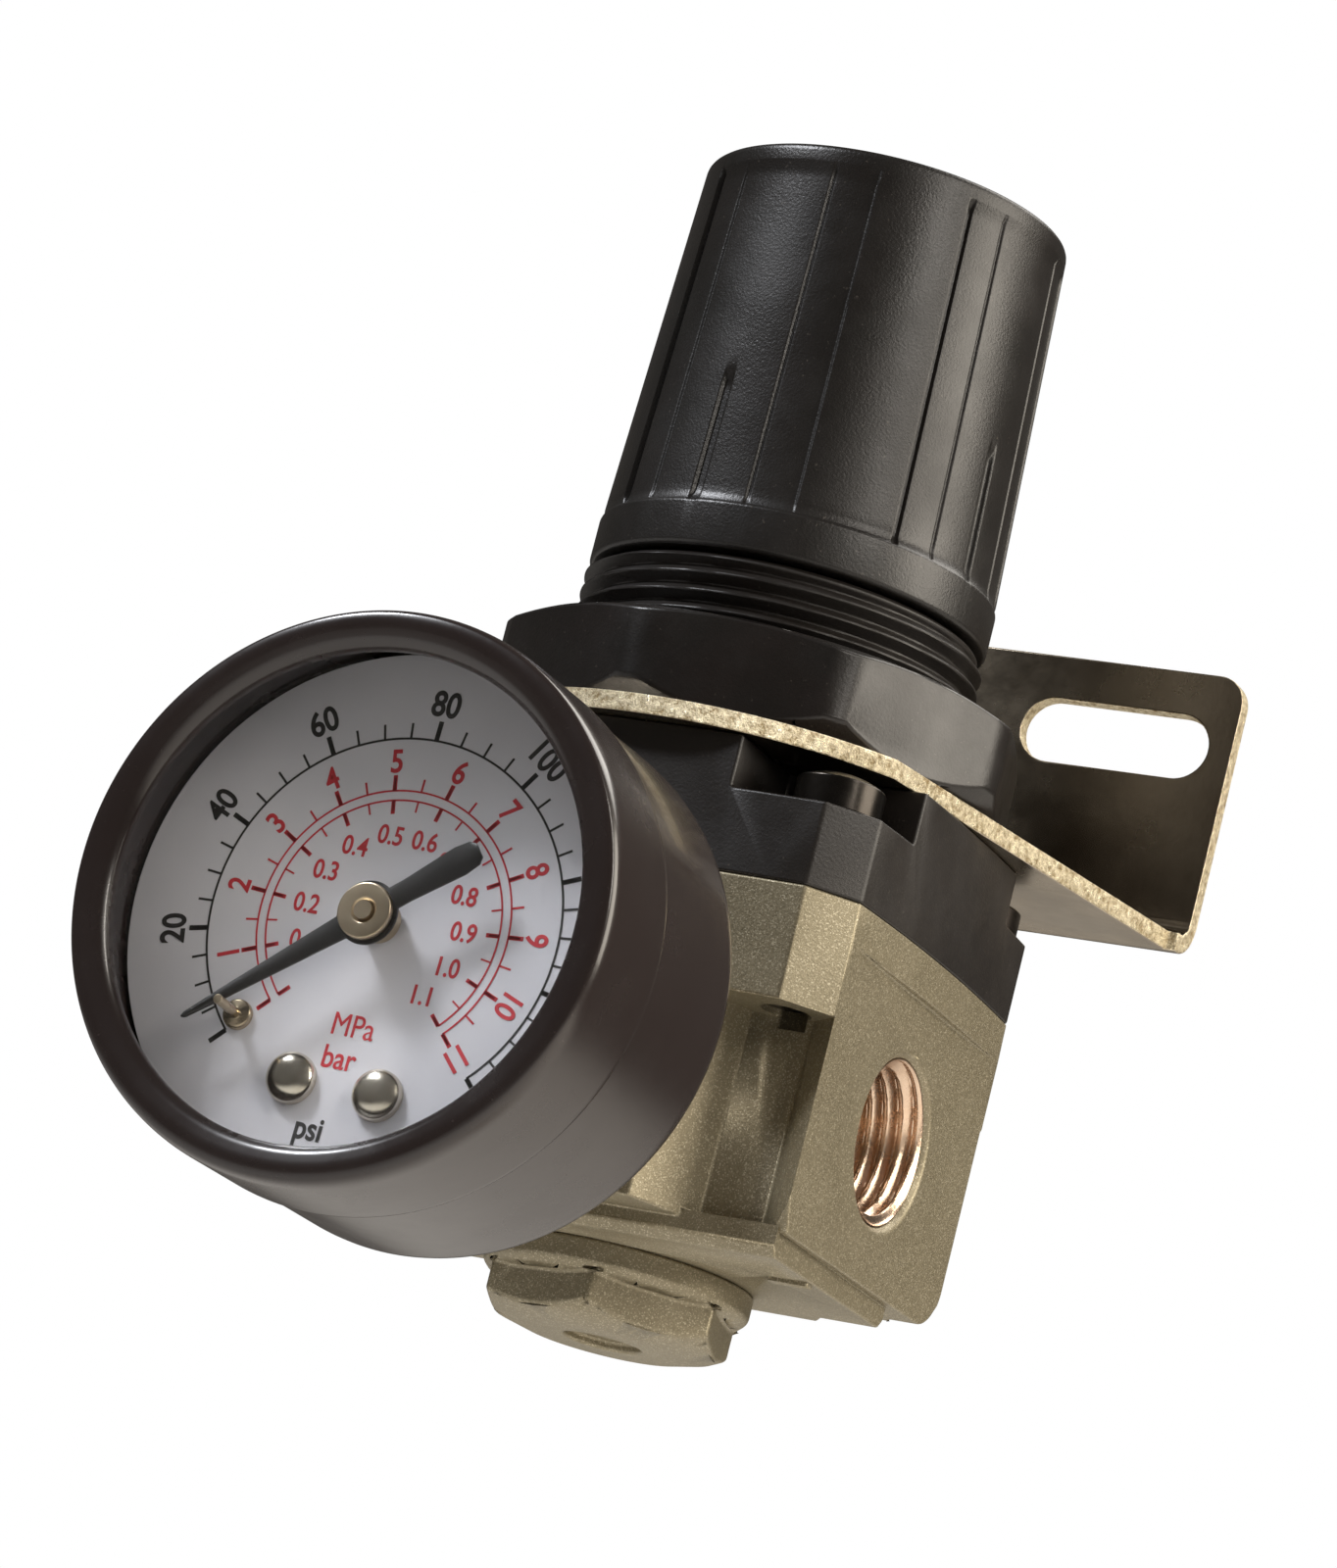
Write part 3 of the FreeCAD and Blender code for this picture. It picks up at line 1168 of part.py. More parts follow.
def make_sector():
    """Sector gear on its own pivot, with the short arm that the link pulls."""
    body = new_body("sector_gear", on_gauge=True)
    sketch = new_sketch(body, "XY_Plane", "sector_back")
    ends = []
    for angle in ("sector_start", "sector_start + sector_span"):
        x, y = spun([("sector_radius", "0")], angle)[0]
        ends.append((x, f"{PIVOT} + {y}"))
    draw(sketch, [("0", f"{PIVOT} - sector_heel"), (*ends[0], "sector_radius"), ends[1]])
    extrude(body, "Pad", sketch, "sector_thick")
    sketch = new_sketch(body, "XY_Plane", "sector_back")
    end = "tail_length + tail_end"
    arm = spun([("0", "-tail_half"), (end, "-tail_half"), (end, "tail_half"), ("0", "tail_half")],
               "tail_angle")
    draw(sketch, [(x, f"{PIVOT} + {y}") for x, y in arm])
    extrude(body, "Pad", sketch, "sector_thick")
    sketch = new_sketch(body, "XY_Plane", "block_front + pivot_play")
    draw_circle(sketch, "0", PIVOT, "pivot_radius")
    extrude(body, "Pad", sketch, "front_plate_back + front_plate_thick - block_front - 2 * pivot_play")
    x, y = spun([("tail_length", "0")], "tail_angle")[0]
    sketch = new_sketch(body, "XY_Plane", "sector_back + sector_thick / 2")
    draw_circle(sketch, x, f"{PIVOT} + {y}", "link_pin_radius")
    extrude(body, "Pad", sketch, "sector_thick / 2 + link_pin_height")
    return body


def make_bourdon_tube():
    """Flattened tube bent to a C; pressure opens it and moves its free end."""
    body = new_body("bourdon_tube", on_gauge=True)
    sketch = new_sketch(body, "XZ_Plane")
    reach = "(tube_wide / 2 - tube_thick / 2)"
    for half in ("(tube_thick / 2)", "(tube_thick / 2 - tube_wall)"):
        draw(sketch, slot_outline("tube_radius", "tube_level", reach, half, upright=True))
    bend = revolve(body, "Revolution", sketch)
    bind(bend, "Angle", "tube_sweep")
    doc.recompute()
    return body


def make_tube_lug():
    """Block brazed to the tube's free end, with the pin that pulls the link."""
    body = new_body("tube_end_lug", on_gauge=True)
    foot = "(tube_level - tube_wide / 2)"
    inner = "lug_x - lug_wall"
    outer = "tube_radius + tube_thick / 2"
    sketch = new_sketch(body, "XY_Plane", foot)
    draw(sketch, [
        (inner, "-lug_deep"), (outer, "-lug_deep"), (outer, "-lug_gap"), (inner, "-lug_gap"),
    ])
    extrude(body, "Pad", sketch, f"sector_back + sector_thick + link_gap / 2 - {foot}")
    sketch = new_sketch(body, "XY_Plane", "sector_back + sector_thick")
    draw_circle(sketch, "lug_x", "-lug_deep / 2", "link_pin_radius")
    extrude(body, "Pad", sketch, "link_pin_height")
    return body


def make_link():
    """Flat link from the tube's lug to the sector's arm, with a slot at the arm's pin."""
    body = new_body("movement_link", on_gauge=True)
    tail_x, tail_y = spun([("tail_length", "0")], "tail_angle")[0]
    tail_y = f"({PIVOT} + {tail_y})"
    tail_x = f"({tail_x})"
    lug_y = "-lug_deep / 2"
    heel = f"{tail_x} - 1.8 * link_half"
    sketch = new_sketch(body, "XY_Plane", "sector_back + sector_thick + link_gap")
    draw(sketch, [
        (heel, f"{tail_y} - link_half"), (f"{tail_x} + link_half", f"{tail_y} - link_half"),
        ("lug_x + link_half", f"{lug_y} - link_half / 2"),
        ("lug_x + link_half / 2", f"{lug_y} + link_half"),
        ("lug_x - link_half * 0.7", f"{lug_y} + link_half * 0.7"),
        (f"{tail_x} - link_half / 2", f"{tail_y} + link_half"), (heel, f"{tail_y} + link_half"),
    ])
    draw_circle(sketch, "lug_x", lug_y, "link_pin_radius + slide_gap")
    slot_half = "(link_pin_radius + link_play)"
    draw(sketch, slot_outline(f"{tail_x} - link_slot_shift", tail_y, "link_slot_run", slot_half))
    extrude(body, "Pad", sketch, "link_thick")
    return body


def make_hairspring():
    """Flat spiral of half turns that takes the backlash out of the pinion."""
    quarter = value("hair_pitch") / 4
    level = value("hair_back")

    def spiral(start_radius):
        edges = []
        for half in range(int(2 * value("hair_turns"))):
            centre = Vector(quarter if half % 2 else -quarter, 0, level)
            reach = start_radius + quarter + 2 * quarter * half
            turn = 180 * (half % 2)
            edges.append(Part.makeCircle(reach, centre, Vector(0, 0, 1), turn, turn + 180))
        return edges

    inner = spiral(value("hair_inner"))
    outer = spiral(value("hair_inner") + value("hair_thick"))
    ends = [Part.makeLine(a.Vertexes[i].Point, b.Vertexes[i].Point)
            for a, b, i in ((inner[0], outer[0], 0), (inner[-1], outer[-1], 1))]
    outline = Part.Wire(Part.__sortEdges__([*inner, *outer, *ends]))
    spring = doc.addObject("Part::Feature", "hairspring")
    spring.Label = "hairspring"
    spring.Shape = Part.Face(outline).extrude(Vector(0, 0, value("hair_wide")))
    settle(spring, on_gauge=True)
    return spring


# ---------------------------------------------------------------- assembly

make_body()
make_rear_plug()
make_bottom_plug()
make_plug_ring()
make_poppet()
make_valve_seal()
make_spring("valve_spring", "valve_spring_radius", "valve_spring_wire", "pocket_floor", "poppet_foot",
            "valve_spring_turns")
make_diaphragm()
make_diaphragm_plate()
make_relief_seat()
make_spring("adjusting_spring", "spring_radius", "spring_wire", "joint_level + plate_thick",
            "follower_foot", "spring_turns")
make_bonnet()
make_bonnet_screws()
make_bracket()
make_panel_nut()
make_knob()
make_adjusting_screw()
make_screw_clip()
make_follower()
make_gauge_socket()
make_gauge_case()
make_bezel()
make_ring("gauge_lens", "0", LENS_RADIUS, "case_front", "case_front + lens_thick")
make_ring("lens_gasket", f"{LENS_RADIUS} - gasket_width", LENS_RADIUS, "case_front + lens_thick",
          "case_front + lens_thick + gasket_thick")
make_dial()
make_dial_screws()
make_stop_pin()
make_pointer()
make_hub_cap()
make_back_plate()
make_front_plate()
make_pillars()
make_arbor()
make_sector()
make_bourdon_tube()
make_tube_lug()
make_link()
make_hairspring()

doc.recompute()
for thing in doc.Objects:
    if "Invalid" in thing.State or "Error" in thing.State:
        raise RuntimeError(f"{thing.Label} failed to build")
os.makedirs("parts", exist_ok=True)
for node in nodes:
    if node.Shape.isNull() or not node.Shape.isValid() or not node.Shape.Solids:
        raise RuntimeError(f"{node.Label} has no valid solid")
    node.Shape.exportStep(f"parts/{node.Label}.step")
    print(f"{node.Label}: {len(node.Shape.Solids)} solid(s), {node.Shape.Volume:.1f} mm3")
print(len(nodes), "nodes")
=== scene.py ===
# %% [markdown]
# An air pressure regulator, dressed as it looks in the hand: painted die-cast body, black bonnet
# and knob, plated wall bracket and a small round gauge. The engineering model is loaded first and
# stays fixed; every visible piece below either refines one of its nodes or takes its place.
# All lengths are metres, and MM turns millimetres into them.

# %% The fixed frame
import json
import math

import bmesh
import bpy
import numpy as np
from mathutils import Matrix, Vector


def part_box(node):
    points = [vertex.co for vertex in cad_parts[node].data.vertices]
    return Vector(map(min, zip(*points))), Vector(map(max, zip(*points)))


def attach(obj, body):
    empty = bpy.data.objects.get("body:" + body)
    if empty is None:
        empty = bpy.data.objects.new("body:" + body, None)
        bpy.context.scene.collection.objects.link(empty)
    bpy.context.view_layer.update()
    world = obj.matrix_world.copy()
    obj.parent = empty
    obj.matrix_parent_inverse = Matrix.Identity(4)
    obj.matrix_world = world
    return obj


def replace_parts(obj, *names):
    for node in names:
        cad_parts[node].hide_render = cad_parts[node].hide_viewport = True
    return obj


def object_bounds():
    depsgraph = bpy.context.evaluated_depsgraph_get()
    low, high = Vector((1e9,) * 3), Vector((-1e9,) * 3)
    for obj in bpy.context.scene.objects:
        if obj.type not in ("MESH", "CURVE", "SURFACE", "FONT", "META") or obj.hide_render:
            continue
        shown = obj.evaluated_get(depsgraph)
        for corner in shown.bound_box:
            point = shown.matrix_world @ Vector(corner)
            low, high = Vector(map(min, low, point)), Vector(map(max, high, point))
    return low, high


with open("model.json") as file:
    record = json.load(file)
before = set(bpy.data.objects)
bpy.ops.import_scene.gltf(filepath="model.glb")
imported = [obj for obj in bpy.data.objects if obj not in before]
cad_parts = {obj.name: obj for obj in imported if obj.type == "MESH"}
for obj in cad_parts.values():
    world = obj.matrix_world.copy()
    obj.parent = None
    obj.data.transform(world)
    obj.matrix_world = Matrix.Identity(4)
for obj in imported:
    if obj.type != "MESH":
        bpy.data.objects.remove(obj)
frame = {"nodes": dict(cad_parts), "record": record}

MM = 0.001
cad_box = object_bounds()
nodes = frame["nodes"]

# %% [markdown]
# Two axes carry nearly every turned piece: the knob's upright axis, and the gauge's axis, which
# points at the reader. Both are read from the boxes of the nodes that turn about them. The gauge
# was screwed in until it sealed, so its dial leans by a small roll.

# %% The knob axis and the gauge axis
knob_low, knob_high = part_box("knob")
bezel_low, bezel_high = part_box("gauge_bezel")
deck_low, deck_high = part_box("mounting_bracket")
AXIS_Y = (knob_low.y + knob_high.y) / 2
GAUGE_Z = (bezel_low.z + bezel_high.z) / 2
GAUGE_ROLL = math.radians(-1.8)
BEZEL_FRONT = AXIS_Y - bezel_low.y


def upright(points):
    """Local (x, y, z) to the frame: z stays, x and y are moved onto the knob's axis."""
    return points + np.array([0.0, AXIS_Y, 0.0])


def on_gauge(points):
    """Local (x, y, z) to the frame, z out of the dial: rolled, then z turned to face -Y."""
    x, y, z = points[..., 0], points[..., 1], points[..., 2]
    c, s = math.cos(GAUGE_ROLL), math.sin(GAUGE_ROLL)
    return np.stack([x * c - y * s, AXIS_Y - z, GAUGE_Z + x * s + y * c], axis=-1)


print("knob axis y", round(AXIS_Y, 5), "gauge axis z", round(GAUGE_Z, 5))

# %% [markdown]
# A mesh is only lists of points and faces. A surface with two parameters is a grid of points, and
# its faces join each point with its neighbours, so the faces can be worked out for every grid in
# the same way. Doubles are merged afterwards, which closes seams and poles.

# %% From a grid of points to a piece
SHARP = math.radians(32)


def add_piece(name, mesh, body="root", smooth_below=SHARP):
    """Link a finished mesh as a piece that rides on one body, smooth but for its sharp edges."""
    piece = bpy.data.objects.new(name, mesh)
    bpy.context.scene.collection.objects.link(piece)
    mesh.shade_smooth()
    mesh.set_sharp_from_angle(angle=smooth_below)
    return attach(piece, body)


def closed_up(mesh, reach=1e-6):
    """Merge doubles, drop what collapsed, and turn all faces outward."""
    work = bmesh.new()
    work.from_mesh(mesh)
    bmesh.ops.remove_doubles(work, verts=work.verts, dist=reach)
    bmesh.ops.dissolve_degenerate(work, edges=work.edges, dist=reach / 10)
    bmesh.ops.recalc_face_normals(work, faces=work.faces)
    work.to_mesh(mesh)
    work.free()
    return mesh


def grid_faces(rows, columns, wrap_rows, wrap_columns):
    """Quads of a grid: point (i, j) is number i * columns + j, and the last may join the first."""
    i, j = np.meshgrid(np.arange(rows - (not wrap_rows)), np.arange(columns - (not wrap_columns)),
                       indexing="ij")
    i2, j2 = (i + 1) % rows, (j + 1) % columns
    quads = [i * columns + j, i2 * columns + j, i2 * columns + j2, i * columns + j2]
    return np.stack(quads, axis=-1).reshape(-1, 4)


def grid_mesh(name, points, wrap_rows=False, wrap_columns=False):
    """A mesh from a (rows, columns, 3) array of points."""
    rows, columns = points.shape[:2]
    mesh = bpy.data.meshes.new(name)
    mesh.from_pydata(points.reshape(-1, 3), [], grid_faces(rows, columns, wrap_rows, wrap_columns))
    return closed_up(mesh)


# %% [markdown]
# A lathe gives a ring of the same outline all round. Real turned and pressed edges are never
# perfectly sharp, so the outline's corners are rounded before it is spun.

# %% Outlines with rounded corners
def rounded(corners, radius, steps=5, closed=True):
    """Replace each corner P of an outline by a curve that starts and ends up to radius from it.

    The curve is (1-t)^2 A + 2t(1-t) P + t^2 B, with A and B on the two sides of the corner.
    A corner given as (x, y, r) has its own radius.
    """
    t = np.linspace(0, 1, steps)[:, None]
    places = [np.array(c[:2], float) for c in corners]
    count = len(places)
    runs = []
    for index, corner in enumerate(corners):
        point = places[index]
        reach = corner[2] if len(corner) > 2 else radius
        if (not closed and index in (0, count - 1)) or reach <= 0:
            runs.append(point[None, :])
            continue
        back = places[index - 1] - point
        ahead = places[(index + 1) % count] - point
        reach_back = min(reach, 0.45 * np.linalg.norm(back))
        reach_ahead = min(reach, 0.45 * np.linalg.norm(ahead))
        start = point + back / np.linalg.norm(back) * reach_back
        end = point + ahead / np.linalg.norm(ahead) * reach_ahead
        runs.append((1 - t) ** 2 * start + 2 * t * (1 - t) * point + t**2 * end)
    return np.concatenate(runs)


def spun(name, outline, steps, place, closed=True, shape=None):
    """Spin an outline of (radius, height) rows about local z: (r cos a, r sin a, z).

    shape, if given, takes the radii and the angle as grids and returns changed radii.
    """
    angle = np.linspace(0, 2 * math.pi, steps, endpoint=False)
    radius = np.repeat(outline[:, :1], steps, axis=1)
    height = np.repeat(outline[:, 1:2], steps, axis=1)
    turn = np.repeat(angle[None, :], len(outline), axis=0)
    if shape is not None:
        radius = shape(radius, height, turn)
    points = np.stack([radius * np.cos(turn), radius * np.sin(turn), height], axis=-1)
    return grid_mesh(name, place(points), wrap_rows=closed, wrap_columns=True)


# %% [markdown]
# Shader effects that several finishes share are node groups. Each one reads Object coordinates,
# so the pattern keeps its real size in metres on every piece, and gives back only colours, masks
# or a height. The shaders stay in the materials.

# %% Small helpers for shader nodes
def new_group(name, inputs, outputs):
    """An empty shader node group with float inputs and outputs, and its two end nodes."""
    group = bpy.data.node_groups.new(name, "ShaderNodeTree")
    for title, start in inputs:
        socket = group.interface.new_socket(title, in_out="INPUT", socket_type="NodeSocketFloat")
        socket.default_value = start
    for title in outputs:
        group.interface.new_socket(title, in_out="OUTPUT", socket_type="NodeSocketFloat")
    return group, group.nodes.new("NodeGroupInput"), group.nodes.new("NodeGroupOutput")


def add_noise(tree, scale, detail, rough, scale_from=None):
    """A noise texture on Object coordinates."""
    where = tree.nodes.new("ShaderNodeTexCoord")
    noise = tree.nodes.new("ShaderNodeTexNoise")
    noise.inputs["Scale"].default_value = scale
    noise.inputs["Detail"].default_value = detail
    noise.inputs["Roughness"].default_value = rough
    tree.links.new(where.outputs["Object"], noise.inputs["Vector"])
    if scale_from is not None:
        tree.links.new(scale_from, noise.inputs["Scale"])
    return noise.outputs["Fac"]


def remap(tree, source, low, high, to_low, to_high):
    """Map a value from one range to another, held inside it."""
    node = tree.nodes.new("ShaderNodeMapRange")
    for title, number in (("From Min", low), ("From Max", high), ("To Min", to_low),
                          ("To Max", to_high)):
        node.inputs[title].default_value = number
    tree.links.new(source, node.inputs["Value"])
    return node.outputs["Result"]


def math_node(tree, operation, first, second):
    """One Math node; each of its two inputs is a socket or a number."""
    node = tree.nodes.new("ShaderNodeMath")
    node.operation = operation
    for socket, item in zip(node.inputs, (first, second)):
        if isinstance(item, (int, float)):
            socket.default_value = item
        else:
            tree.links.new(item, socket)
    return node.outputs["Value"]


# %% The shared effects: fine grain, metal flake and handling marks
def make_grain():
    """Moulded or painted grain: a fine noise for the height, a broad one for the tone."""
    group, given, result = new_group("fine_grain", [("Scale", 3000.0)], ["Height", "Tone"])
    fine = add_noise(group, 3000.0, 3.0, 0.6, given.outputs["Scale"])
    group.links.new(fine, result.inputs["Height"])
    broad = add_noise(group, 130.0, 4.0, 0.6)
    group.links.new(remap(group, broad, 0.3, 0.7, 0.0, 1.0), result.inputs["Tone"])
    return group


def make_flake():
    """Metal flakes in paint: cells a fraction of a millimetre wide, each of its own brightness."""
    group, given, result = new_group("metal_flake", [("Scale", 5200.0)], ["Flake", "Spark"])
    where = group.nodes.new("ShaderNodeTexCoord")
    cells = group.nodes.new("ShaderNodeTexVoronoi")
    group.links.new(where.outputs["Object"], cells.inputs["Vector"])
    group.links.new(given.outputs["Scale"], cells.inputs["Scale"])
    split = group.nodes.new("ShaderNodeSeparateColor")
    group.links.new(cells.outputs["Color"], split.inputs["Color"])
    group.links.new(split.outputs["Red"], result.inputs["Flake"])
    group.links.new(remap(group, split.outputs["Green"], 0.80, 0.97, 0.0, 1.0), result.inputs["Spark"])
    return group


def make_handling():
    """Light handling: soft smudges from broad noise, with faint dust in small specks."""
    group, given, result = new_group("handling", [("Dust", 0.5)], ["Smudge", "Dust"])
    broad = add_noise(group, 90.0, 5.0, 0.65)
    group.links.new(remap(group, broad, 0.38, 0.66, 0.0, 1.0), result.inputs["Smudge"])
    specks = remap(group, add_noise(group, 2600.0, 2.0, 0.5), 0.70, 0.76, 0.0, 1.0)
    group.links.new(math_node(group, "MULTIPLY", specks, given.outputs["Dust"]), result.inputs["Dust"])
    return group


grain_group, flake_group, handling_group = make_grain(), make_flake(), make_handling()
print("shared effects:", [g.name for g in bpy.data.node_groups])


# %% One way to build every finish
def new_material(name, metallic=0.0, roughness=0.5, coat=0.0, coat_roughness=0.1, level=0.5):
    """A material with one Principled BSDF, its even values set on the shader itself."""
    material = bpy.data.materials.new(name)
    material.use_nodes = True
    shader = material.node_tree.nodes["Principled BSDF"]
    for title, number in (("Metallic", metallic), ("Roughness", roughness), ("Coat Weight", coat),
                          ("Coat Roughness", coat_roughness), ("Specular IOR Level", level)):
        shader.inputs[title].default_value = number
    return material, material.node_tree, shader


def place_group(tree, group, **values):
    """One of the shared effects, placed in a material with its own values."""
    node = tree.nodes.new("ShaderNodeGroup")
    node.node_tree = group
    for title, number in values.items():
        node.inputs[title].default_value = number
    return node


def mix_colours(tree, factor, first, second):
    """Blend two colours; each is a socket or an (r, g, b)."""
    node = tree.nodes.new("ShaderNodeMix")
    node.data_type = "RGBA"
    tree.links.new(factor, node.inputs["Factor"])
    for socket, item in ((node.inputs[6], first), (node.inputs[7], second)):
        if isinstance(item, tuple):
            socket.default_value = (*item, 1.0)
        else:
            tree.links.new(item, socket)
    return node.outputs[2]


def add_bump(tree, shader, height, distance, strength=1.0):
    """A Bump node between a height and the shader's Normal."""
    bump = tree.nodes.new("ShaderNodeBump")
    bump.inputs["Distance"].default_value = distance
    bump.inputs["Strength"].default_value = strength
    tree.links.new(height, bump.inputs["Height"])
    tree.links.new(bump.outputs["Normal"], shader.inputs["Normal"])


# %% Paint, plastic, plate and the other finishes
def body_paint():
    """Sprayed metallic paint: khaki with fine flakes, a sandy skin and a few dull patches."""
    material, tree, shader = new_material("body_paint", metallic=0.55, roughness=0.42)
    flake = place_group(tree, flake_group, Scale=11000.0)
    grain = place_group(tree, grain_group, Scale=5200.0)
    base = mix_colours(tree, grain.outputs["Tone"], (0.185, 0.158, 0.100), (0.240, 0.208, 0.138))
    flaked = mix_colours(tree, math_node(tree, "MULTIPLY", flake.outputs["Flake"], 0.35), base,
                         (0.40, 0.35, 0.24))
    bright = mix_colours(tree, math_node(tree, "MULTIPLY", flake.outputs["Spark"], 0.40), flaked,
                         (0.80, 0.73, 0.56))
    tree.links.new(bright, shader.inputs["Base Color"])
    tree.links.new(remap(tree, flake.outputs["Flake"], 0.0, 1.0, 0.36, 0.50), shader.inputs["Roughness"])
    add_bump(tree, shader, grain.outputs["Height"], 0.00005, 0.5)
    return material


def black_plastic(name, tone, light_tone, roughness, grain_scale, depth):
    """Moulded black plastic: warm near-black, a fine skin, dust specks and soft handling marks."""
    material, tree, shader = new_material(name, roughness=roughness)
    grain = place_group(tree, grain_group, Scale=grain_scale)
    marks = place_group(tree, handling_group, Dust=0.25)
    base = mix_colours(tree, grain.outputs["Tone"], tone, light_tone)
    tree.links.new(mix_colours(tree, marks.outputs["Dust"], base, (0.16, 0.14, 0.12)),
                   shader.inputs["Base Color"])
    tree.links.new(remap(tree, marks.outputs["Smudge"], 0.0, 1.0, roughness - 0.05, roughness + 0.08),
                   shader.inputs["Roughness"])
    add_bump(tree, shader, grain.outputs["Height"], depth, 0.6)
    return material


def metal(name, tone, light_tone, roughness, grain_scale=2600.0, depth=0.00001, metallic=1.0):
    """Bare or plated metal: two close tones, uneven gloss and a very fine surface."""
    material, tree, shader = new_material(name, metallic=metallic, roughness=roughness)
    grain = place_group(tree, grain_group, Scale=grain_scale)
    marks = place_group(tree, handling_group, Dust=0.0)
    tree.links.new(mix_colours(tree, grain.outputs["Tone"], tone, light_tone),
                   shader.inputs["Base Color"])
    tree.links.new(remap(tree, marks.outputs["Smudge"], 0.0, 1.0, roughness * 0.8, roughness * 1.3),
                   shader.inputs["Roughness"])
    add_bump(tree, shader, grain.outputs["Height"], depth, 0.5)
    return material


def sheared_edge():
    """The bracket's cut edge: bright torn metal under thin plating, ridged along the cut."""
    material, tree, shader = new_material("bracket_sheared_edge", metallic=1.0, roughness=0.3)
    torn = add_noise(tree, 1500.0, 5.0, 0.75)
    base = mix_colours(tree, remap(tree, torn, 0.35, 0.62, 0.0, 1.0), (0.30, 0.22, 0.11),
                       (0.93, 0.84, 0.62))
    tree.links.new(base, shader.inputs["Base Color"])
    tree.links.new(remap(tree, torn, 0.3, 0.7, 0.5, 0.22), shader.inputs["Roughness"])
    add_bump(tree, shader, torn, 0.00035, 1.0)
    return material


def gauge_enamel():
    """Stoved black enamel on the steel case: deep and glossy, with faint orange peel."""
    material, tree, shader = new_material("gauge_enamel", roughness=0.23, coat=0.25, coat_roughness=0.07)
    peel = add_noise(tree, 420.0, 2.0, 0.5)
    marks = place_group(tree, handling_group, Dust=0.18)
    tree.links.new(mix_colours(tree, marks.outputs["Dust"], (0.020, 0.014, 0.013), (0.13, 0.11, 0.10)),
                   shader.inputs["Base Color"])
    tree.links.new(remap(tree, marks.outputs["Smudge"], 0.0, 1.0, 0.20, 0.30),
                   shader.inputs["Roughness"])
    add_bump(tree, shader, peel, 0.00004, 0.35)
    return material


def clear_lens():
    """Clear moulded window; lamps pass through it, so the dial behind is lit."""
    material, tree, shader = new_material("lens_clear", roughness=0.02)
    shader.inputs["Transmission Weight"].default_value = 1.0
    shader.inputs["IOR"].default_value = 1.49
    shader.inputs["Base Color"].default_value = (0.97, 0.98, 0.97, 1.0)
    clear = tree.nodes.new("ShaderNodeBsdfTransparent")
    path = tree.nodes.new("ShaderNodeLightPath")
    mix = tree.nodes.new("ShaderNodeMixShader")
    tree.links.new(path.outputs["Is Shadow Ray"], mix.inputs["Fac"])
    tree.links.new(shader.outputs["BSDF"], mix.inputs[1])
    tree.links.new(clear.outputs["BSDF"], mix.inputs[2])
    tree.links.new(mix.outputs["Shader"], tree.nodes["Material Output"].inputs["Surface"])
    return material


def paper_white(name, tone, light_tone, roughness):
    """Printed matt paint, as on a dial: nearly even, with a soft mottle."""
    material, tree, shader = new_material(name, roughness=roughness)
    grain = place_group(tree, grain_group, Scale=4200.0)
    tree.links.new(mix_colours(tree, grain.outputs["Tone"], tone, light_tone),
                   shader.inputs["Base Color"])
    add_bump(tree, shader, grain.outputs["Height"], 0.00001, 0.3)
    return material


FINISHES = {
    "body_paint": body_paint(),
    "bonnet_plastic": black_plastic("bonnet_plastic", (0.008, 0.006, 0.005), (0.014, 0.011, 0.009),
                                    0.44, 4200.0, 0.00004),
    "nut_plastic": black_plastic("nut_plastic", (0.007, 0.006, 0.005), (0.012, 0.009, 0.008),
                                 0.34, 3600.0, 0.00003),
    "knob_plastic": black_plastic("knob_plastic", (0.007, 0.006, 0.005), (0.012, 0.010, 0.009),
                                  0.36, 4600.0, 0.00005),
    "bracket_plating": metal("bracket_plating", (0.36, 0.30, 0.22), (0.50, 0.43, 0.33), 0.24,
                             900.0, 0.00003),
    "screw_black": metal("screw_black", (0.020, 0.017, 0.015), (0.05, 0.045, 0.04), 0.32),
    "plated_steel": metal("plated_steel", (0.50, 0.49, 0.46), (0.62, 0.61, 0.58), 0.28),
    "spring_steel": metal("spring_steel", (0.24, 0.23, 0.22), (0.34, 0.33, 0.31), 0.30),
    "brass": metal("brass", (0.44, 0.36, 0.25), (0.54, 0.45, 0.33), 0.28),
    "aluminium": metal("aluminium", (0.58, 0.58, 0.58), (0.70, 0.70, 0.69), 0.32),
    "black_rubber": black_plastic("black_rubber", (0.012, 0.012, 0.012), (0.02, 0.02, 0.02),
                                  0.7, 2400.0, 0.00006),
    "gauge_enamel": gauge_enamel(),
    "lens_clear": clear_lens(),
    "dial_white": paper_white("dial_white", (0.700, 0.690, 0.740), (0.750, 0.740, 0.790), 0.5),
    "bright_steel": metal("bright_steel", (0.62, 0.57, 0.48), (0.72, 0.67, 0.58), 0.2),
    "pointer_black": paper_white("pointer_black", (0.006, 0.005, 0.005), (0.010, 0.009, 0.008), 0.38),
}
sheared = sheared_edge()
print("finishes:", len(FINISHES))

# %% [markdown]
# Every node of the engineering model names the slot that it takes its finish from, so one loop
# dresses them all, the hidden springs and gears too. Pieces built later replace some of them.

# %% Dress the carried-over nodes
slot_of = {part["node"]: part["material_slot"] for part in frame["record"]["subparts"]}
for title, node in nodes.items():
    node.data.materials.clear()
    node.data.materials.append(FINISHES[slot_of[title]])
print("dressed", len(slot_of), "nodes")


def stands_for(piece, node):
    """Give a new piece its node's finish, if it has none yet, and hide the node."""
    if not piece.data.materials:
        piece.data.materials.append(FINISHES[slot_of[node]])
    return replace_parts(piece, node)


# %% [markdown]
# Cast, moulded and pressed parts have small rounds where the engineering model has edges, and it
# is the rounds that catch the light. A copy of a node's mesh is merged, its flat triangles are
# joined, and a Bevel modifier then rounds whatever edges are still sharp.

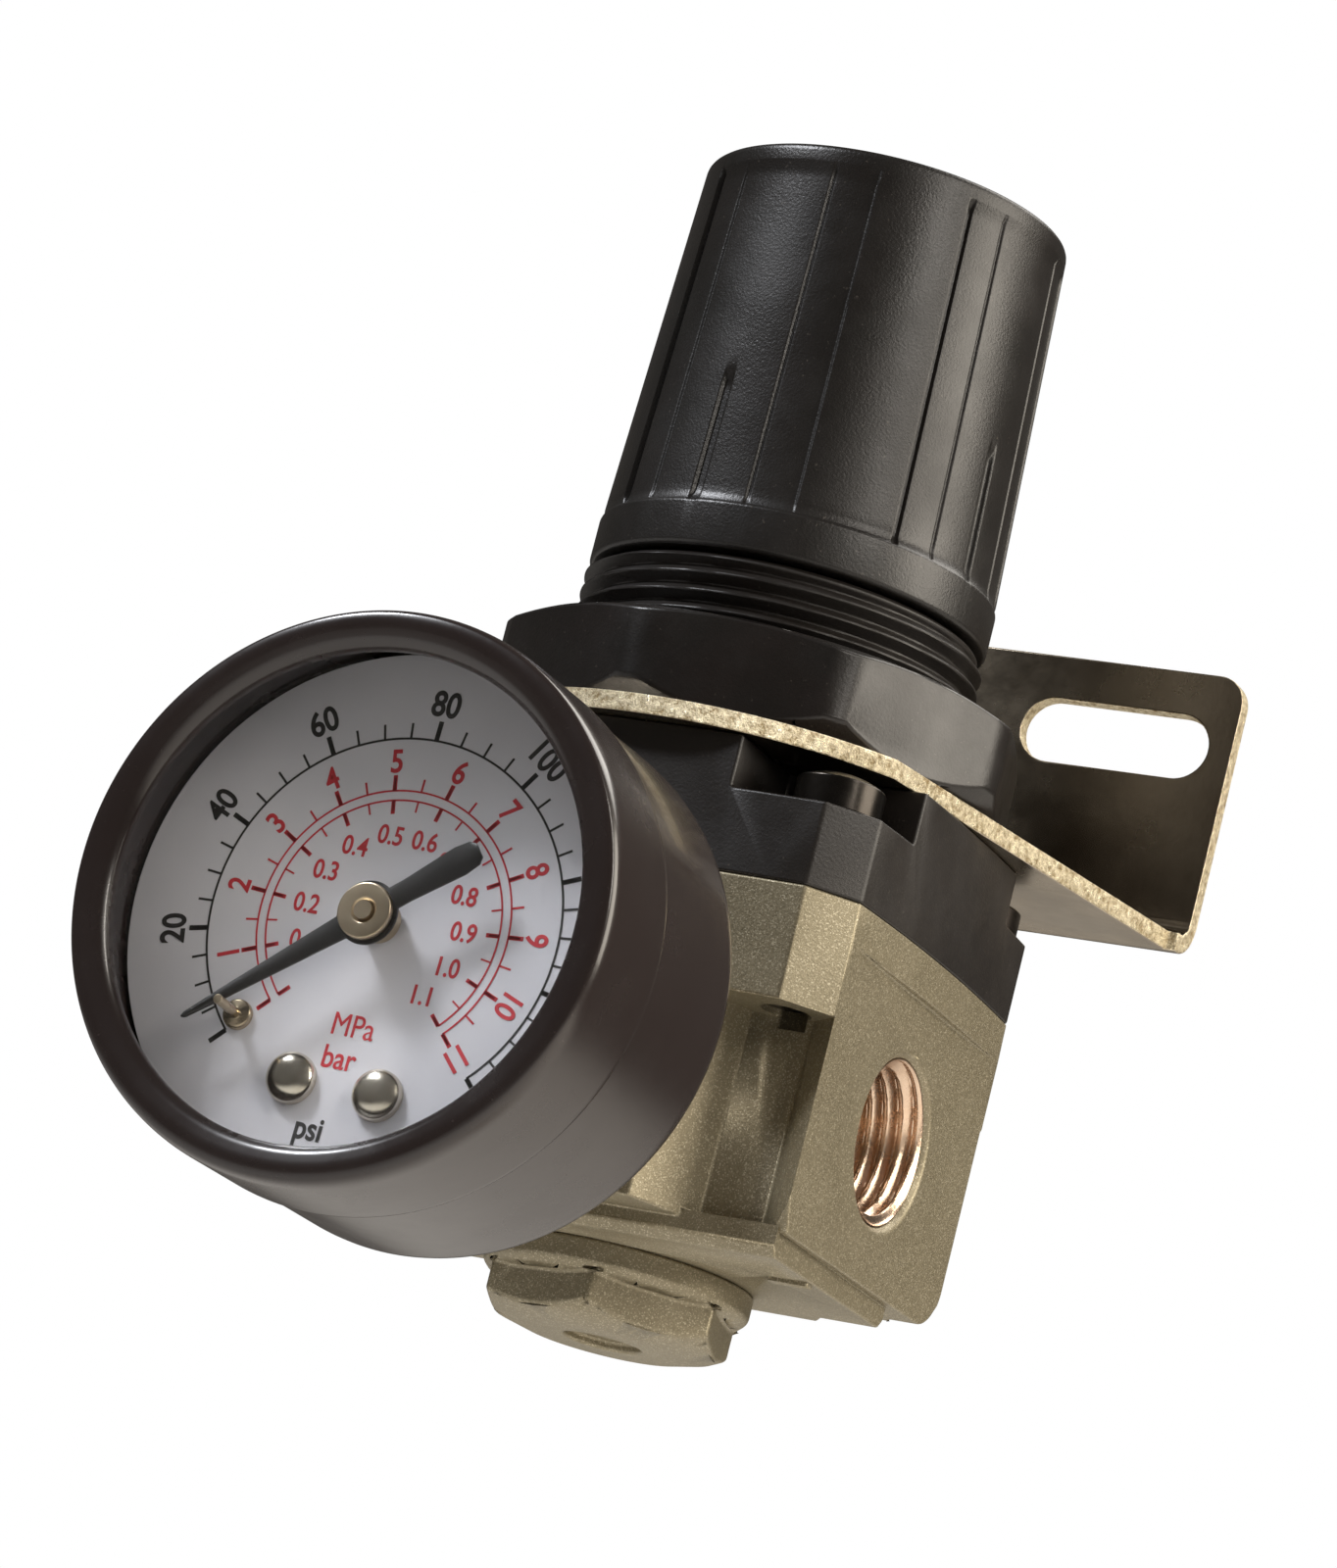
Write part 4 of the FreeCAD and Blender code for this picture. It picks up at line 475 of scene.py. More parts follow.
# %% Soft edges on cast, moulded and pressed parts
def softened(node, width, segments=3, sharp=30.0, flat=0.6, room=0.0):
    """A copy of a node with rounded edges, width metres wide, standing for it.

    An edge that meets another shorter than room has no space for a round, and stays sharp.
    """
    mesh = nodes[node].data.copy()
    work = bmesh.new()
    work.from_mesh(mesh)
    bmesh.ops.remove_doubles(work, verts=work.verts, dist=2e-6)
    bmesh.ops.dissolve_limit(work, angle_limit=math.radians(flat), verts=work.verts, edges=work.edges)
    weight = work.edges.layers.float.new("bevel_weight_edge")
    for edge in work.edges:
        bent = len(edge.link_faces) == 2 and edge.calc_face_angle(0.0) > math.radians(sharp)
        beside = (other for end in edge.verts for other in end.link_edges if other is not edge)
        if bent and all(other.calc_length() >= room for other in beside):
            edge[weight] = 1.0
    work.to_mesh(mesh)
    work.free()
    piece = add_piece(node + "_shape", mesh)
    bevel = piece.modifiers.new("rounds", "BEVEL")
    bevel.width = width
    bevel.segments = segments
    bevel.limit_method = "WEIGHT"
    bevel.use_clamp_overlap = False
    bevel.harden_normals = True
    bevel.miter_outer = "MITER_ARC"
    print(piece.name, "faces before the rounds:", len(mesh.polygons))
    return stands_for(piece, node)


ROUNDS = {
    "body": {"width": 0.22 * MM, "room": 0.33 * MM},
    "bonnet": {"width": 0.25 * MM},
    "panel_nut": {"width": 0.25 * MM},
    "mounting_bracket": {"width": 0.18 * MM, "segments": 2},
    "bottom_plug": {"width": 0.3 * MM},
    "bonnet_screws": {"width": 0.12 * MM, "segments": 2},
    "gauge_socket": {"width": 0.2 * MM, "segments": 2},
}
soft_pieces = {title: softened(title, **rounds) for title, rounds in ROUNDS.items()}

# %% [markdown]
# The knob is a moulded cap. Its grip has four shallow raised panels, thin lines beside them and
# short slots near the foot. All of that is one formula: the turned radius, less a depth that
# depends on the angle and the height, so the panels fade in and out as they would from a mould.

# %% The knob
def band(values, low, high, soft):
    """1 between low and high, falling to 0 outside over about soft, by two tanh steps."""
    return 0.5 * (np.tanh((values - low) / soft) - np.tanh((values - high) / soft))


KNOB_TURNS = 4
KNOB_PANEL_AT = math.radians(35.0)
knob_height = knob_high.z - knob_low.z
GRIP_FOOT = knob_low.z + 3.9 * MM
GRIP_TOP = knob_high.z - 1.9 * MM
KNOB_RADIUS = (knob_high.x - knob_low.x) / 2


def knob_radius(radius, height, turn):
    """Turned radius less the depth of panels, lines and slots at each angle and height."""
    outer = (radius > KNOB_RADIUS - 1.7 * MM) & (height > knob_low.z + 0.5 * MM)
    period = 2 * math.pi / KNOB_TURNS
    facing = turn + math.pi / 2 - KNOB_PANEL_AT
    local = (facing + period / 2) % period - period / 2
    across = local * KNOB_RADIUS
    away = np.abs(across)
    grip = band(height, GRIP_FOOT, GRIP_TOP, 0.18 * MM)
    raised = band(height, GRIP_FOOT + 0.5 * MM, GRIP_TOP + 1.0 * MM, 0.08 * MM)
    panel = band(across, -4.15 * MM, 4.15 * MM, 0.05 * MM) * raised
    groove = band(across, 4.15 * MM, 4.65 * MM, 0.05 * MM) * grip
    thin = band(away, 8.0 * MM, 8.28 * MM, 0.05 * MM) * grip
    slot_top = knob_low.z + 0.42 * knob_height
    slots = band(away, 12.4 * MM, 14.0 * MM, 0.08 * MM) * band(height, GRIP_FOOT, slot_top, 0.25 * MM)
    depth = 0.22 * (1 - panel) * grip + 0.36 * groove + 0.17 * thin + 0.40 * slots
    return np.where(outer, radius - depth * MM, radius)


def knob_outline():
    """Half section of the cap: up the outside, then down the inside to the hexagon socket."""
    low, high = knob_low.z, knob_high.z
    mouth, wall = 14.6 * MM, 1.7 * MM
    ring = KNOB_RADIUS
    top = ring - 1.35 * MM
    side = [(ring - 0.1 * MM, low + 3.75 * MM), (ring - 0.15 * MM, GRIP_FOOT)]
    heights = np.linspace(GRIP_FOOT, high - 1.6 * MM, 44)[1:]
    radii = np.interp(heights, [GRIP_FOOT, high], [ring - 0.15 * MM, top])
    outside = np.concatenate([
        rounded([(mouth, low), (ring - 0.25 * MM, low), (ring, low + 0.3 * MM), (ring, low + 3.6 * MM),
                 *side], 0.15 * MM, 4, closed=False),
        np.stack([radii, heights], axis=-1),
    ])
    crown = rounded([
        (top + 0.06 * MM, high - 1.5 * MM), (top, high, 1.5 * MM), (top - 2.2 * MM, high),
        (top - 2.5 * MM, high - 0.12 * MM), (0, high - 0.12 * MM),
    ], 0.3 * MM, 7, closed=False)
    inside = np.array([(0, high - 3.0 * MM), (3.9 * MM, high - 3.0 * MM), (3.9 * MM, high - 13.4 * MM),
                       (6.5 * MM, high - 13.4 * MM), (6.5 * MM, high - 2 * MM),
                       (top - wall, high - 2 * MM), (mouth, low + 4.75 * MM), (mouth, low)])
    return np.concatenate([outside, crown, inside])


knob_mesh = spun("knob_cap", knob_outline(), 1200, upright, shape=knob_radius)
knob_piece = add_piece("knob_cap", knob_mesh, "knob", smooth_below=math.radians(50))
stands_for(knob_piece, "knob")
print("knob faces:", len(knob_piece.data.polygons))


# %% [markdown]
# A screw thread is a helix: the ridge moves one pitch along the axis for each turn. On a grid of
# angle and length, the height of the thread is a triangle wave of (length / pitch - angle / turn).
# The neck has such a thread outside, and the two air ports have one inside.

# %% Threads
def thread_sleeve(name, start, end, pitch, root, crest, back, place):
    """A thin sleeve with a helical thread: r = root + (crest - root) * wave(z / pitch - a / 2pi).

    The thread fades in over half a pitch at each end. back is the radius of the sleeve's plain side.
    """
    rows = max(int((end - start) / pitch * 20), 8)
    steps = 160
    z = np.linspace(start, end, rows)[:, None]
    a = np.linspace(0, 2 * math.pi, steps, endpoint=False)[None, :]
    phase = (z / pitch - a / (2 * math.pi)) % 1.0
    wave = np.clip(1.25 * (1 - np.abs(2 * phase - 1)) - 0.12, 0, 1)
    fade = np.clip(np.minimum(z - start, end - z) / (0.35 * pitch), 0, 1)
    radius = root + (crest - root) * wave * fade
    threaded = np.stack([radius * np.cos(a), radius * np.sin(a), z + 0 * a], axis=-1)
    plain_z = np.linspace(end, start, 3)[:, None]
    plain = np.stack([back * np.cos(a) + 0 * plain_z, back * np.sin(a) + 0 * plain_z,
                      plain_z + 0 * a], axis=-1)
    points = place(np.concatenate([threaded, plain]))
    return grid_mesh(name, points, wrap_rows=True, wrap_columns=True)


NECK_TOP = knob_low.z - 0.3 * MM
NUT_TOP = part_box("panel_nut")[1].z
NECK_PITCH, NECK_ROOT, NECK_CREST = 1.5 * MM, 15.62 * MM, 16.45 * MM
neck_mesh = thread_sleeve("neck_thread", NUT_TOP - 0.6 * MM, NECK_TOP - 0.1 * MM, NECK_PITCH,
                          NECK_ROOT, NECK_CREST, 15.3 * MM, upright)
neck = add_piece("neck_thread", neck_mesh, smooth_below=math.radians(40))
neck.data.materials.append(FINISHES["bonnet_plastic"])

PORT_Z = GAUGE_Z + 0.9 * MM
PORT_FLOOR, PORT_MOUTH = 9.05 * MM, 19.6 * MM
PORT_PITCH, PORT_ROOT, PORT_CREST, PORT_BACK = 1.337 * MM, 6.5 * MM, 5.78 * MM, 6.575 * MM


def port_thread(name, side):
    """One port's thread, set in its bore: local z runs along X from the port's floor to its mouth."""
    def place(points):
        x, y, z = points[..., 0], points[..., 1], points[..., 2]
        return np.stack([side * z, AXIS_Y + x, PORT_Z + side * y], axis=-1)
    mesh = thread_sleeve(name, PORT_FLOOR, PORT_MOUTH, PORT_PITCH, PORT_ROOT, PORT_CREST, PORT_BACK,
                         place)
    piece = add_piece(name, mesh, smooth_below=math.radians(40))
    piece.data.materials.append(FINISHES["port_cut_metal"])
    return piece


FINISHES["port_cut_metal"] = metal("port_cut_metal", (0.60, 0.42, 0.30), (0.80, 0.64, 0.50), 0.24,
                                   1800.0, 0.00005)
for title, side in (("outlet_port_thread", 1), ("inlet_port_thread", -1)):
    print(title, len(port_thread(title, side).data.polygons))


# %% [markdown]
# The gauge case is deep-drawn sheet with a big round at the back; the bezel is a spun ring that
# clamps the window. Their rounds are what shows the light running round the black enamel.

# %% The gauge case, bezel and window
def height_at(distance):
    """Local height on the gauge's axis of a point that far behind the bezel's front."""
    return BEZEL_FRONT - distance * MM


CASE_RADIUS = 21.0 * MM
WINDOW_RADIUS = 18.4 * MM
LENS_RADIUS = 20.75 * MM
SOCKET_BORE = 5.5 * MM
BEZEL_RADIUS = (bezel_high.x - bezel_low.x) / 2


def case_outline():
    back, front, wall = height_at(24.8), height_at(3.5), 0.8 * MM
    return rounded([
        (SOCKET_BORE, back, 0), (CASE_RADIUS, back, 2.6 * MM), (CASE_RADIUS, front, 0),
        (CASE_RADIUS - wall, front, 0), (CASE_RADIUS - wall, back + wall, 1.8 * MM),
        (SOCKET_BORE, back + wall, 0),
    ], 0.3 * MM, 9)


def bezel_outline():
    """Skirt, rolled front edge, sloped face, then the inner lip over the window."""
    skirt, front, lip = height_at(9.8), height_at(0.0), height_at(1.6)
    ring, window, bore = BEZEL_RADIUS, WINDOW_RADIUS, CASE_RADIUS + 0.02 * MM
    return rounded([
        (bore, skirt, 0), (ring - 0.12 * MM, skirt, 0.12 * MM),
        (ring, skirt + 0.5 * MM, 0.3 * MM), (ring, front - 0.35 * MM, 1.5 * MM),
        (ring - 1.1 * MM, front, 0.9 * MM), (window + 0.55 * MM, front - 0.35 * MM, 0.35 * MM),
        (window, front - 0.9 * MM, 0.35 * MM), (window, lip, 0.1 * MM), (bore, lip, 0),
    ], 0.3 * MM, 9)


case_mesh = spun("gauge_case_shell", case_outline(), 256, on_gauge)
case_piece = stands_for(add_piece("gauge_case_shell", case_mesh), "gauge_case")
bezel_mesh = spun("gauge_bezel_ring", bezel_outline(), 320, on_gauge)
bezel_piece = stands_for(add_piece("gauge_bezel_ring", bezel_mesh), "gauge_bezel")
lens_outline = rounded([
    (0, height_at(3.5), 0), (LENS_RADIUS, height_at(3.5)), (LENS_RADIUS, height_at(2.05)),
    (0, height_at(2.0), 0),
], 0.25 * MM, 5, closed=False)
lens_mesh = spun("gauge_window", lens_outline, 192, on_gauge, closed=False)
lens_piece = stands_for(add_piece("gauge_window", lens_mesh), "gauge_lens")
print("case, bezel, window:", [len(p.data.polygons) for p in (case_piece, bezel_piece, lens_piece)])


# %% [markdown]
# The dial is a stamped disc with print on it. Scales are arcs and ticks on polar coordinates, so
# each scale is one function of its start, end and step. Ink is built as real, very thin prisms.

# %% The dial plate
DIAL_FRONT = height_at(8.35)
dial_low, dial_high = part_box("dial_plate")
DIAL_RADIUS = (dial_high.x - dial_low.x) / 2
DIAL_BORE = 0.9 * MM
dial_outline = rounded([
    (DIAL_BORE, height_at(8.85), 0), (DIAL_RADIUS, height_at(8.85)), (DIAL_RADIUS, DIAL_FRONT),
    (DIAL_BORE, DIAL_FRONT, 0),
], 0.12 * MM, 4)
dial_mesh = spun("dial_disc", dial_outline, 192, on_gauge)
stands_for(add_piece("dial_disc", dial_mesh), "dial_plate")

INK = 0.03 * MM
START, SWEEP = math.radians(225.0), math.radians(270.0)


def prisms(footprints, foot, top):
    """Closed blocks from an array of footprints, (count, corners, 2), between two heights.

    Point i of a block's foot and point i of its top are joined into one side.
    """
    count, corners = footprints.shape[:2]
    low = np.concatenate([footprints, np.full((count, corners, 1), foot)], axis=-1)
    high = np.concatenate([footprints, np.full((count, corners, 1), top)], axis=-1)
    points = np.concatenate([low, high], axis=1)
    k = np.arange(corners)
    k2 = (k + 1) % corners
    sides = np.stack([k, k2, k2 + corners, k + corners], axis=-1)
    base = (np.arange(count) * 2 * corners)[:, None, None]
    side_faces = (sides[None] + base).reshape(-1, 4).tolist()
    caps = (k[::-1][None] + base[:, 0]).tolist() + ((k + corners)[None] + base[:, 0]).tolist()
    return points.reshape(-1, 3), side_faces + caps


def ticks(angles, inner, outer, width):
    """Footprints of radial bars: corners at inner and outer radius, half a width to each side."""
    angles = np.asarray(angles)[:, None]
    along = np.array([inner, outer, outer, inner])[None, :]
    across = np.array([-width, -width, width, width])[None, :] / 2
    x = along * np.cos(angles) - across * np.sin(angles)
    y = along * np.sin(angles) + across * np.cos(angles)
    return np.stack([x, y], axis=-1)


def arc(radius, width, first, last, pieces=120):
    """Footprints of an arc as short blocks side by side, from angle first to angle last."""
    edges = np.linspace(first, last, pieces + 1)
    a, b = edges[:-1], edges[1:]
    low, high = radius - width / 2, radius + width / 2
    corners = [(low, a), (high, a), (high, b), (low, b)]
    return np.stack([np.stack([r * np.cos(t), r * np.sin(t)], axis=-1) for r, t in corners], axis=1)


def reading_angle(reading, full):
    """Angle of a reading on a scale that runs clockwise from START to full over SWEEP."""
    return START - SWEEP * np.asarray(reading) / full


def letters(word, size, centre, turn, weight, stretch=0.86):
    """A word as a flat mesh: text made a mesh, centred, squeezed, turned and moved on the dial."""
    text = bpy.data.curves.new("word", "FONT")
    text.body = word
    text.size = size / MM
    text.align_x, text.align_y = "CENTER", "CENTER"
    text.extrude = INK / MM / 2
    text.offset = weight
    text.resolution_u = 5
    holder = bpy.data.objects.new("word", text)
    mesh = bpy.data.meshes.new_from_object(holder)
    bpy.data.objects.remove(holder)
    mesh.transform(Matrix.Scale(MM, 4))
    co = np.empty(len(mesh.vertices) * 3)
    mesh.vertices.foreach_get("co", co)
    co = co.reshape(-1, 3)
    middle = (co.min(axis=0) + co.max(axis=0)) / 2
    x, y = (co[:, 0] - middle[0]) * stretch, co[:, 1] - middle[1]
    c, s = math.cos(turn), math.sin(turn)
    co[:, 0], co[:, 1] = centre[0] + x * c - y * s, centre[1] + x * s + y * c
    co[:, 2] += DIAL_FRONT + INK / 2 + 0.002 * MM - middle[2]
    mesh.vertices.foreach_set("co", co.ravel())
    return mesh


def print_piece(name, footprints, words, material):
    """One ink colour as one piece: its blocks and its words joined, then put on the gauge."""
    work = bmesh.new()
    for block in footprints:
        points, faces = prisms(block, DIAL_FRONT + 0.002 * MM, DIAL_FRONT + INK)
        part = bpy.data.meshes.new("ink")
        part.from_pydata(points, [], faces)
        work.from_mesh(part)
        bpy.data.meshes.remove(part)
    for mesh in words:
        work.from_mesh(mesh)
        bpy.data.meshes.remove(mesh)
    bmesh.ops.recalc_face_normals(work, faces=work.faces)
    bmesh.ops.triangulate(work, faces=[f for f in work.faces if len(f.verts) > 4])
    mesh = bpy.data.meshes.new(name)
    work.to_mesh(mesh)
    work.free()
    co = np.empty(len(mesh.vertices) * 3)
    mesh.vertices.foreach_get("co", co)
    mesh.vertices.foreach_set("co", on_gauge(co.reshape(-1, 3)).ravel())
    mesh.materials.append(material)
    piece = add_piece(name, mesh, smooth_below=math.radians(10))
    print(name, "faces:", len(mesh.polygons))
    return piece


# %% The black scale, in psi
def radial_numbers(readings, full, radius, size, weight, form="{:g}"):
    """Numbers set round a scale, each turned to read along its own radius."""
    made = []
    for reading in readings:
        angle = float(reading_angle(reading, full))
        place = (radius * math.cos(angle), radius * math.sin(angle))
        made.append(letters(form.format(reading), size, place, angle - math.pi / 2, weight))
    return made


BLACK_ARC = 13.62 * MM
black = [
    arc(BLACK_ARC, 0.16 * MM, START, START - SWEEP, 200),
    ticks(reading_angle(np.arange(0, 161, 5), 160), BLACK_ARC, BLACK_ARC + 1.15 * MM, 0.17 * MM),
    ticks(reading_angle(np.arange(0, 161, 20), 160), BLACK_ARC, BLACK_ARC + 1.45 * MM, 0.36 * MM),
    arc(BLACK_ARC + 1.25 * MM, 0.14 * MM, float(reading_angle(136, 160)), START - SWEEP, 40),
]
black_words = radial_numbers(range(20, 161, 20), 160, 16.35 * MM, 2.62 * MM, 0.06)
black_words.append(letters("psi", 2.4 * MM, (-1.1 * MM, -15.6 * MM), 0.0, 0.05))
print_piece("dial_print_black", black, black_words,
            paper_white("dial_ink_black", (0.012, 0.010, 0.010), (0.022, 0.02, 0.02), 0.5))

# %% The two red scales, in bar and MPa
BAR_ARC, MPA_ARC = 9.76 * MM, 9.05 * MM
BAR_FULL = 11.0
bar_end = START - SWEEP
red = [
    arc(BAR_ARC, 0.13 * MM, START, bar_end, 160),
    arc(MPA_ARC, 0.13 * MM, START, bar_end, 160),
    ticks(reading_angle(np.arange(0, 11.01, 0.5), BAR_FULL), BAR_ARC, BAR_ARC + 0.95 * MM, 0.15 * MM),
    ticks(reading_angle(np.arange(0, 11.01, 1.0), BAR_FULL), BAR_ARC, BAR_ARC + 1.15 * MM, 0.32 * MM),
    ticks(reading_angle(np.arange(0, 11.01, 0.5), BAR_FULL), MPA_ARC - 0.8 * MM, MPA_ARC, 0.13 * MM),
    ticks(reading_angle(np.arange(0, 11.01, 1.0), BAR_FULL), MPA_ARC - 1.0 * MM, MPA_ARC, 0.30 * MM),
]
red_words = radial_numbers(range(1, 12), BAR_FULL, 11.95 * MM, 2.4 * MM, 0.045)
for step in range(1, 12):
    angle = float(reading_angle(step, BAR_FULL))
    reach = (6.55 - 0.25 * abs(math.cos(angle))) * MM
    place = (reach * math.cos(angle), reach * math.sin(angle))
    red_words.append(letters(f"{step / 10:.1f}", 1.95 * MM, place, 0.0, 0.03))
red_words.append(letters("MPa", 2.35 * MM, (0.1 * MM, -7.6 * MM), 0.0, 0.0))
red_words.append(letters("bar", 2.35 * MM, (-0.3 * MM, -10.0 * MM), 0.0, 0.02))
print_piece("dial_print_red", red, red_words,
            paper_white("dial_ink_red", (0.52, 0.020, 0.032), (0.60, 0.030, 0.045), 0.5))


# %% [markdown]
# Small bright parts on the dial: the stop pin with its riveted collar, the two domed screws, the
# pointer, and the turned hub with the arbor's end in its middle. The pointer is blackened steel.

# %% Stop pin, dial screws and hub
PIN_TURN, PIN_REACH = math.radians(223.2), 12.3 * MM


def about(x, y):
    """A place function for turned pieces whose own axis stands at (x, y) on the dial."""
    def place(points):
        return on_gauge(points + np.array([x, y, 0.0]))
    return place


pin_front = height_at(4.5)
pin_outline = rounded([
    (0, DIAL_FRONT, 0), (1.1 * MM, DIAL_FRONT, 0), (1.1 * MM, DIAL_FRONT + 0.5 * MM, 0.2 * MM),
    (0.36 * MM, DIAL_FRONT + 0.6 * MM, 0.1 * MM), (0.36 * MM, pin_front, 0.1 * MM), (0, pin_front, 0),
], 0.1 * MM, 4, closed=False)
pin_place = about(PIN_REACH * math.cos(PIN_TURN), PIN_REACH * math.sin(PIN_TURN))
pin_mesh = spun("stop_pin", pin_outline, 40, pin_place, closed=False)
stands_for(add_piece("stop_pin", pin_mesh), "pointer_stop_pin")

SCREW_X, SCREW_Y = 3.45 * MM, -12.1 * MM
SHANK, HEAD = 1.15 * MM, 1.9 * MM
screw_outline = rounded([
    (0, DIAL_FRONT - 1.2 * MM, 0), (SHANK, DIAL_FRONT - 1.2 * MM, 0), (SHANK, DIAL_FRONT + 0.01 * MM, 0),
    (HEAD, DIAL_FRONT + 0.02 * MM, 0.05 * MM), (1.84 * MM, DIAL_FRONT + 0.62 * MM, 0.5 * MM),
    (1.05 * MM, DIAL_FRONT + 1.12 * MM, 0.6 * MM), (0, DIAL_FRONT + 1.22 * MM, 0),
], 0.1 * MM, 7, closed=False)
screw_heads = [spun("dial_screw", screw_outline, 64, about(side * SCREW_X, SCREW_Y), closed=False)
               for side in (-1, 1)]
joined = bmesh.new()
for mesh in screw_heads:
    joined.from_mesh(mesh)
screw_mesh = bpy.data.meshes.new("dial_screw_heads")
joined.to_mesh(screw_mesh)
joined.free()
stands_for(add_piece("dial_screw_heads", screw_mesh), "dial_screws")

hub_back, hub_front = height_at(7.9), height_at(5.1)
POINTER_TOP = height_at(5.6)
ARBOR, STEM, BARREL, DISC = 0.7 * MM, 1.0 * MM, 1.6 * MM, 2.1 * MM
POINTER_FOOT = POINTER_TOP - 0.3 * MM
hub_outline = rounded([
    (ARBOR, hub_back, 0), (BARREL, hub_back, 0), (BARREL, POINTER_FOOT, 0), (STEM, POINTER_FOOT, 0),
    (STEM, POINTER_TOP, 0), (DISC, POINTER_TOP, 0.05 * MM), (DISC, hub_front, 0.18 * MM),
    (0.95 * MM, hub_front, 0.1 * MM), (ARBOR, hub_front - 0.25 * MM, 0.05 * MM),
], 0.1 * MM, 5)
hub_mesh = spun("pointer_hub_cap", hub_outline, 96, on_gauge)
stands_for(add_piece("pointer_hub_cap", hub_mesh, "pointer_set"), "pointer_hub")


# %% The pointer
EYE = 2.35 * MM
POINTER_REST = math.radians(219.4)


def pointer_mesh():
    """A blade along u from tail to tip: half width w(u) from stations, domed across by 1 - v^2.

    Round the arbor w(u) is the circle of the eye, sqrt(eye^2 - u^2).
    """
    stations = np.array([(-9.3, 0.55), (-8.9, 0.95), (-7.7, 1.12), (-3.4, 0.85), (0.0, 0.85),
                         (2.2, 0.90), (6.0, 0.72), (12.0, 0.42), (15.3, 0.20), (15.6, 0.05)]) * MM
    u = np.linspace(stations[0, 0], stations[-1, 0], 260)[:, None]
    half = np.maximum(np.interp(u, stations[:, 0], stations[:, 1]),
                      np.sqrt(np.clip(EYE**2 - u**2, 0, None)))
    v = np.linspace(-1, 1, 9)[None, :]
    dome = 0.10 * MM * (1 - v**2)
    top = np.stack([u + 0 * v, half * v, POINTER_FOOT + 0.18 * MM + dome + 0 * u], axis=-1)
    bottom = np.stack([u + 0 * v, half * v[:, ::-1], POINTER_FOOT + 0 * (u + v)], axis=-1)
    local = np.concatenate([top, bottom], axis=1)
    ends = [np.repeat(local[:1].mean(axis=1, keepdims=True), local.shape[1], axis=1),
            np.repeat(local[-1:].mean(axis=1, keepdims=True), local.shape[1], axis=1)]
    local = np.concatenate([ends[0], local, ends[1]])
    c, s = math.cos(POINTER_REST), math.sin(POINTER_REST)
    x, y, z = local[..., 0], local[..., 1], local[..., 2]
    return grid_mesh("pointer_blade", on_gauge(np.stack([x * c - y * s, x * s + y * c, z], axis=-1)),
                     wrap_columns=True)


pointer_piece = stands_for(add_piece("pointer_blade", pointer_mesh(), "pointer_set"), "pointer")
print("pointer faces:", len(pointer_piece.data.polygons))

# %% [markdown]
# The plated bracket was cut from sheet, and its plating leaves the sheared edges brighter and
# rougher than its faces. Faces whose normal lies in the plane of the sheet are the cut edges.

# %% Sheared edges on the bracket
def mark_sheared(piece):
    """Give the edge finish to faces that look along the sheet: sideways on the plate or the leg."""
    mesh = piece.data
    mesh.materials.append(sheared)
    count = len(mesh.polygons)
    normal, centre = np.empty(count * 3), np.empty(count * 3)
    mesh.polygons.foreach_get("normal", normal)
    mesh.polygons.foreach_get("center", centre)
    normal, centre = normal.reshape(-1, 3), centre.reshape(-1, 3)
    on_plate = (centre[:, 1] < deck_high.y - 3.3 * MM) & (np.abs(normal[:, 2]) < 0.4)
    on_leg = (centre[:, 2] > deck_low.z + 3.3 * MM) & (np.abs(normal[:, 1]) < 0.4)
    on_end = np.abs(normal[:, 0]) > 0.9
    mesh.polygons.foreach_set("material_index", (on_plate | on_leg | on_end).astype(np.int32))
    print("sheared faces:", int((on_plate | on_leg | on_end).sum()))


mark_sheared(soft_pieces["mounting_bracket"])


# %% [markdown]
# The camera stands low and a little to the right, and looks up at the part with the frame tilted.
# Its place is given as an angle round the part, an angle below the horizon and a roll.

# %% The camera
VIEW_TURN, VIEW_RISE, VIEW_ROLL = math.radians(26.13), math.radians(-13.21), math.radians(14.35)
camera_data = bpy.data.cameras.new("camera")
camera_data.sensor_width = 36.0
camera_data.lens = 152.3655
camera_data.clip_start, camera_data.clip_end = 0.01, 20.0
camera = bpy.data.objects.new("camera", camera_data)
bpy.context.scene.collection.objects.link(camera)
bpy.context.scene.camera = camera
backward = Vector((math.sin(VIEW_TURN) * math.cos(VIEW_RISE), -math.cos(VIEW_TURN) * math.cos(VIEW_RISE),
                   math.sin(VIEW_RISE)))
level = (-backward).cross(Vector((0, 0, 1))).normalized()
straight = backward.cross(level).normalized()
right = level * math.cos(VIEW_ROLL) + straight * math.sin(VIEW_ROLL)
up = straight * math.cos(VIEW_ROLL) - level * math.sin(VIEW_ROLL)
place = Matrix((right, up, backward)).transposed().to_4x4()
place.translation = Vector((221.28, -496.22, -138.55)) * MM
camera.matrix_world = place
print("camera", tuple(round(x, 4) for x in camera.location), "lens", round(camera_data.lens, 1))


# %% [markdown]
# A pale floor and soft lamps, as in a small product studio. The big lamp stands to the right and
# warms the right-hand faces; a narrow strip draws the highlight down the knob and the case. A small
# lamp up on the left lights the dial, and one from behind lights the top edges.

# %% Floor, lamps and surroundings
def add_floor():
    """A flat pale floor well under the part."""
    span = np.linspace(-1.5, 1.5, 41)
    x, y = np.meshgrid(span, span, indexing="ij")
    z = cad_box[0].z - 150 * MM + 0.0 * x
    mesh = bpy.data.meshes.new("floor")
    points = np.stack([x, y, z], axis=-1).reshape(-1, 3)
    mesh.from_pydata(points, [], grid_faces(41, 41, False, False))
    floor = bpy.data.objects.new("floor", mesh)
    bpy.context.scene.collection.objects.link(floor)
    material, tree, shader = new_material("pale_floor", roughness=0.8)
    shader.inputs["Base Color"].default_value = (0.82, 0.80, 0.77, 1.0)
    mesh.materials.append(material)
    return floor


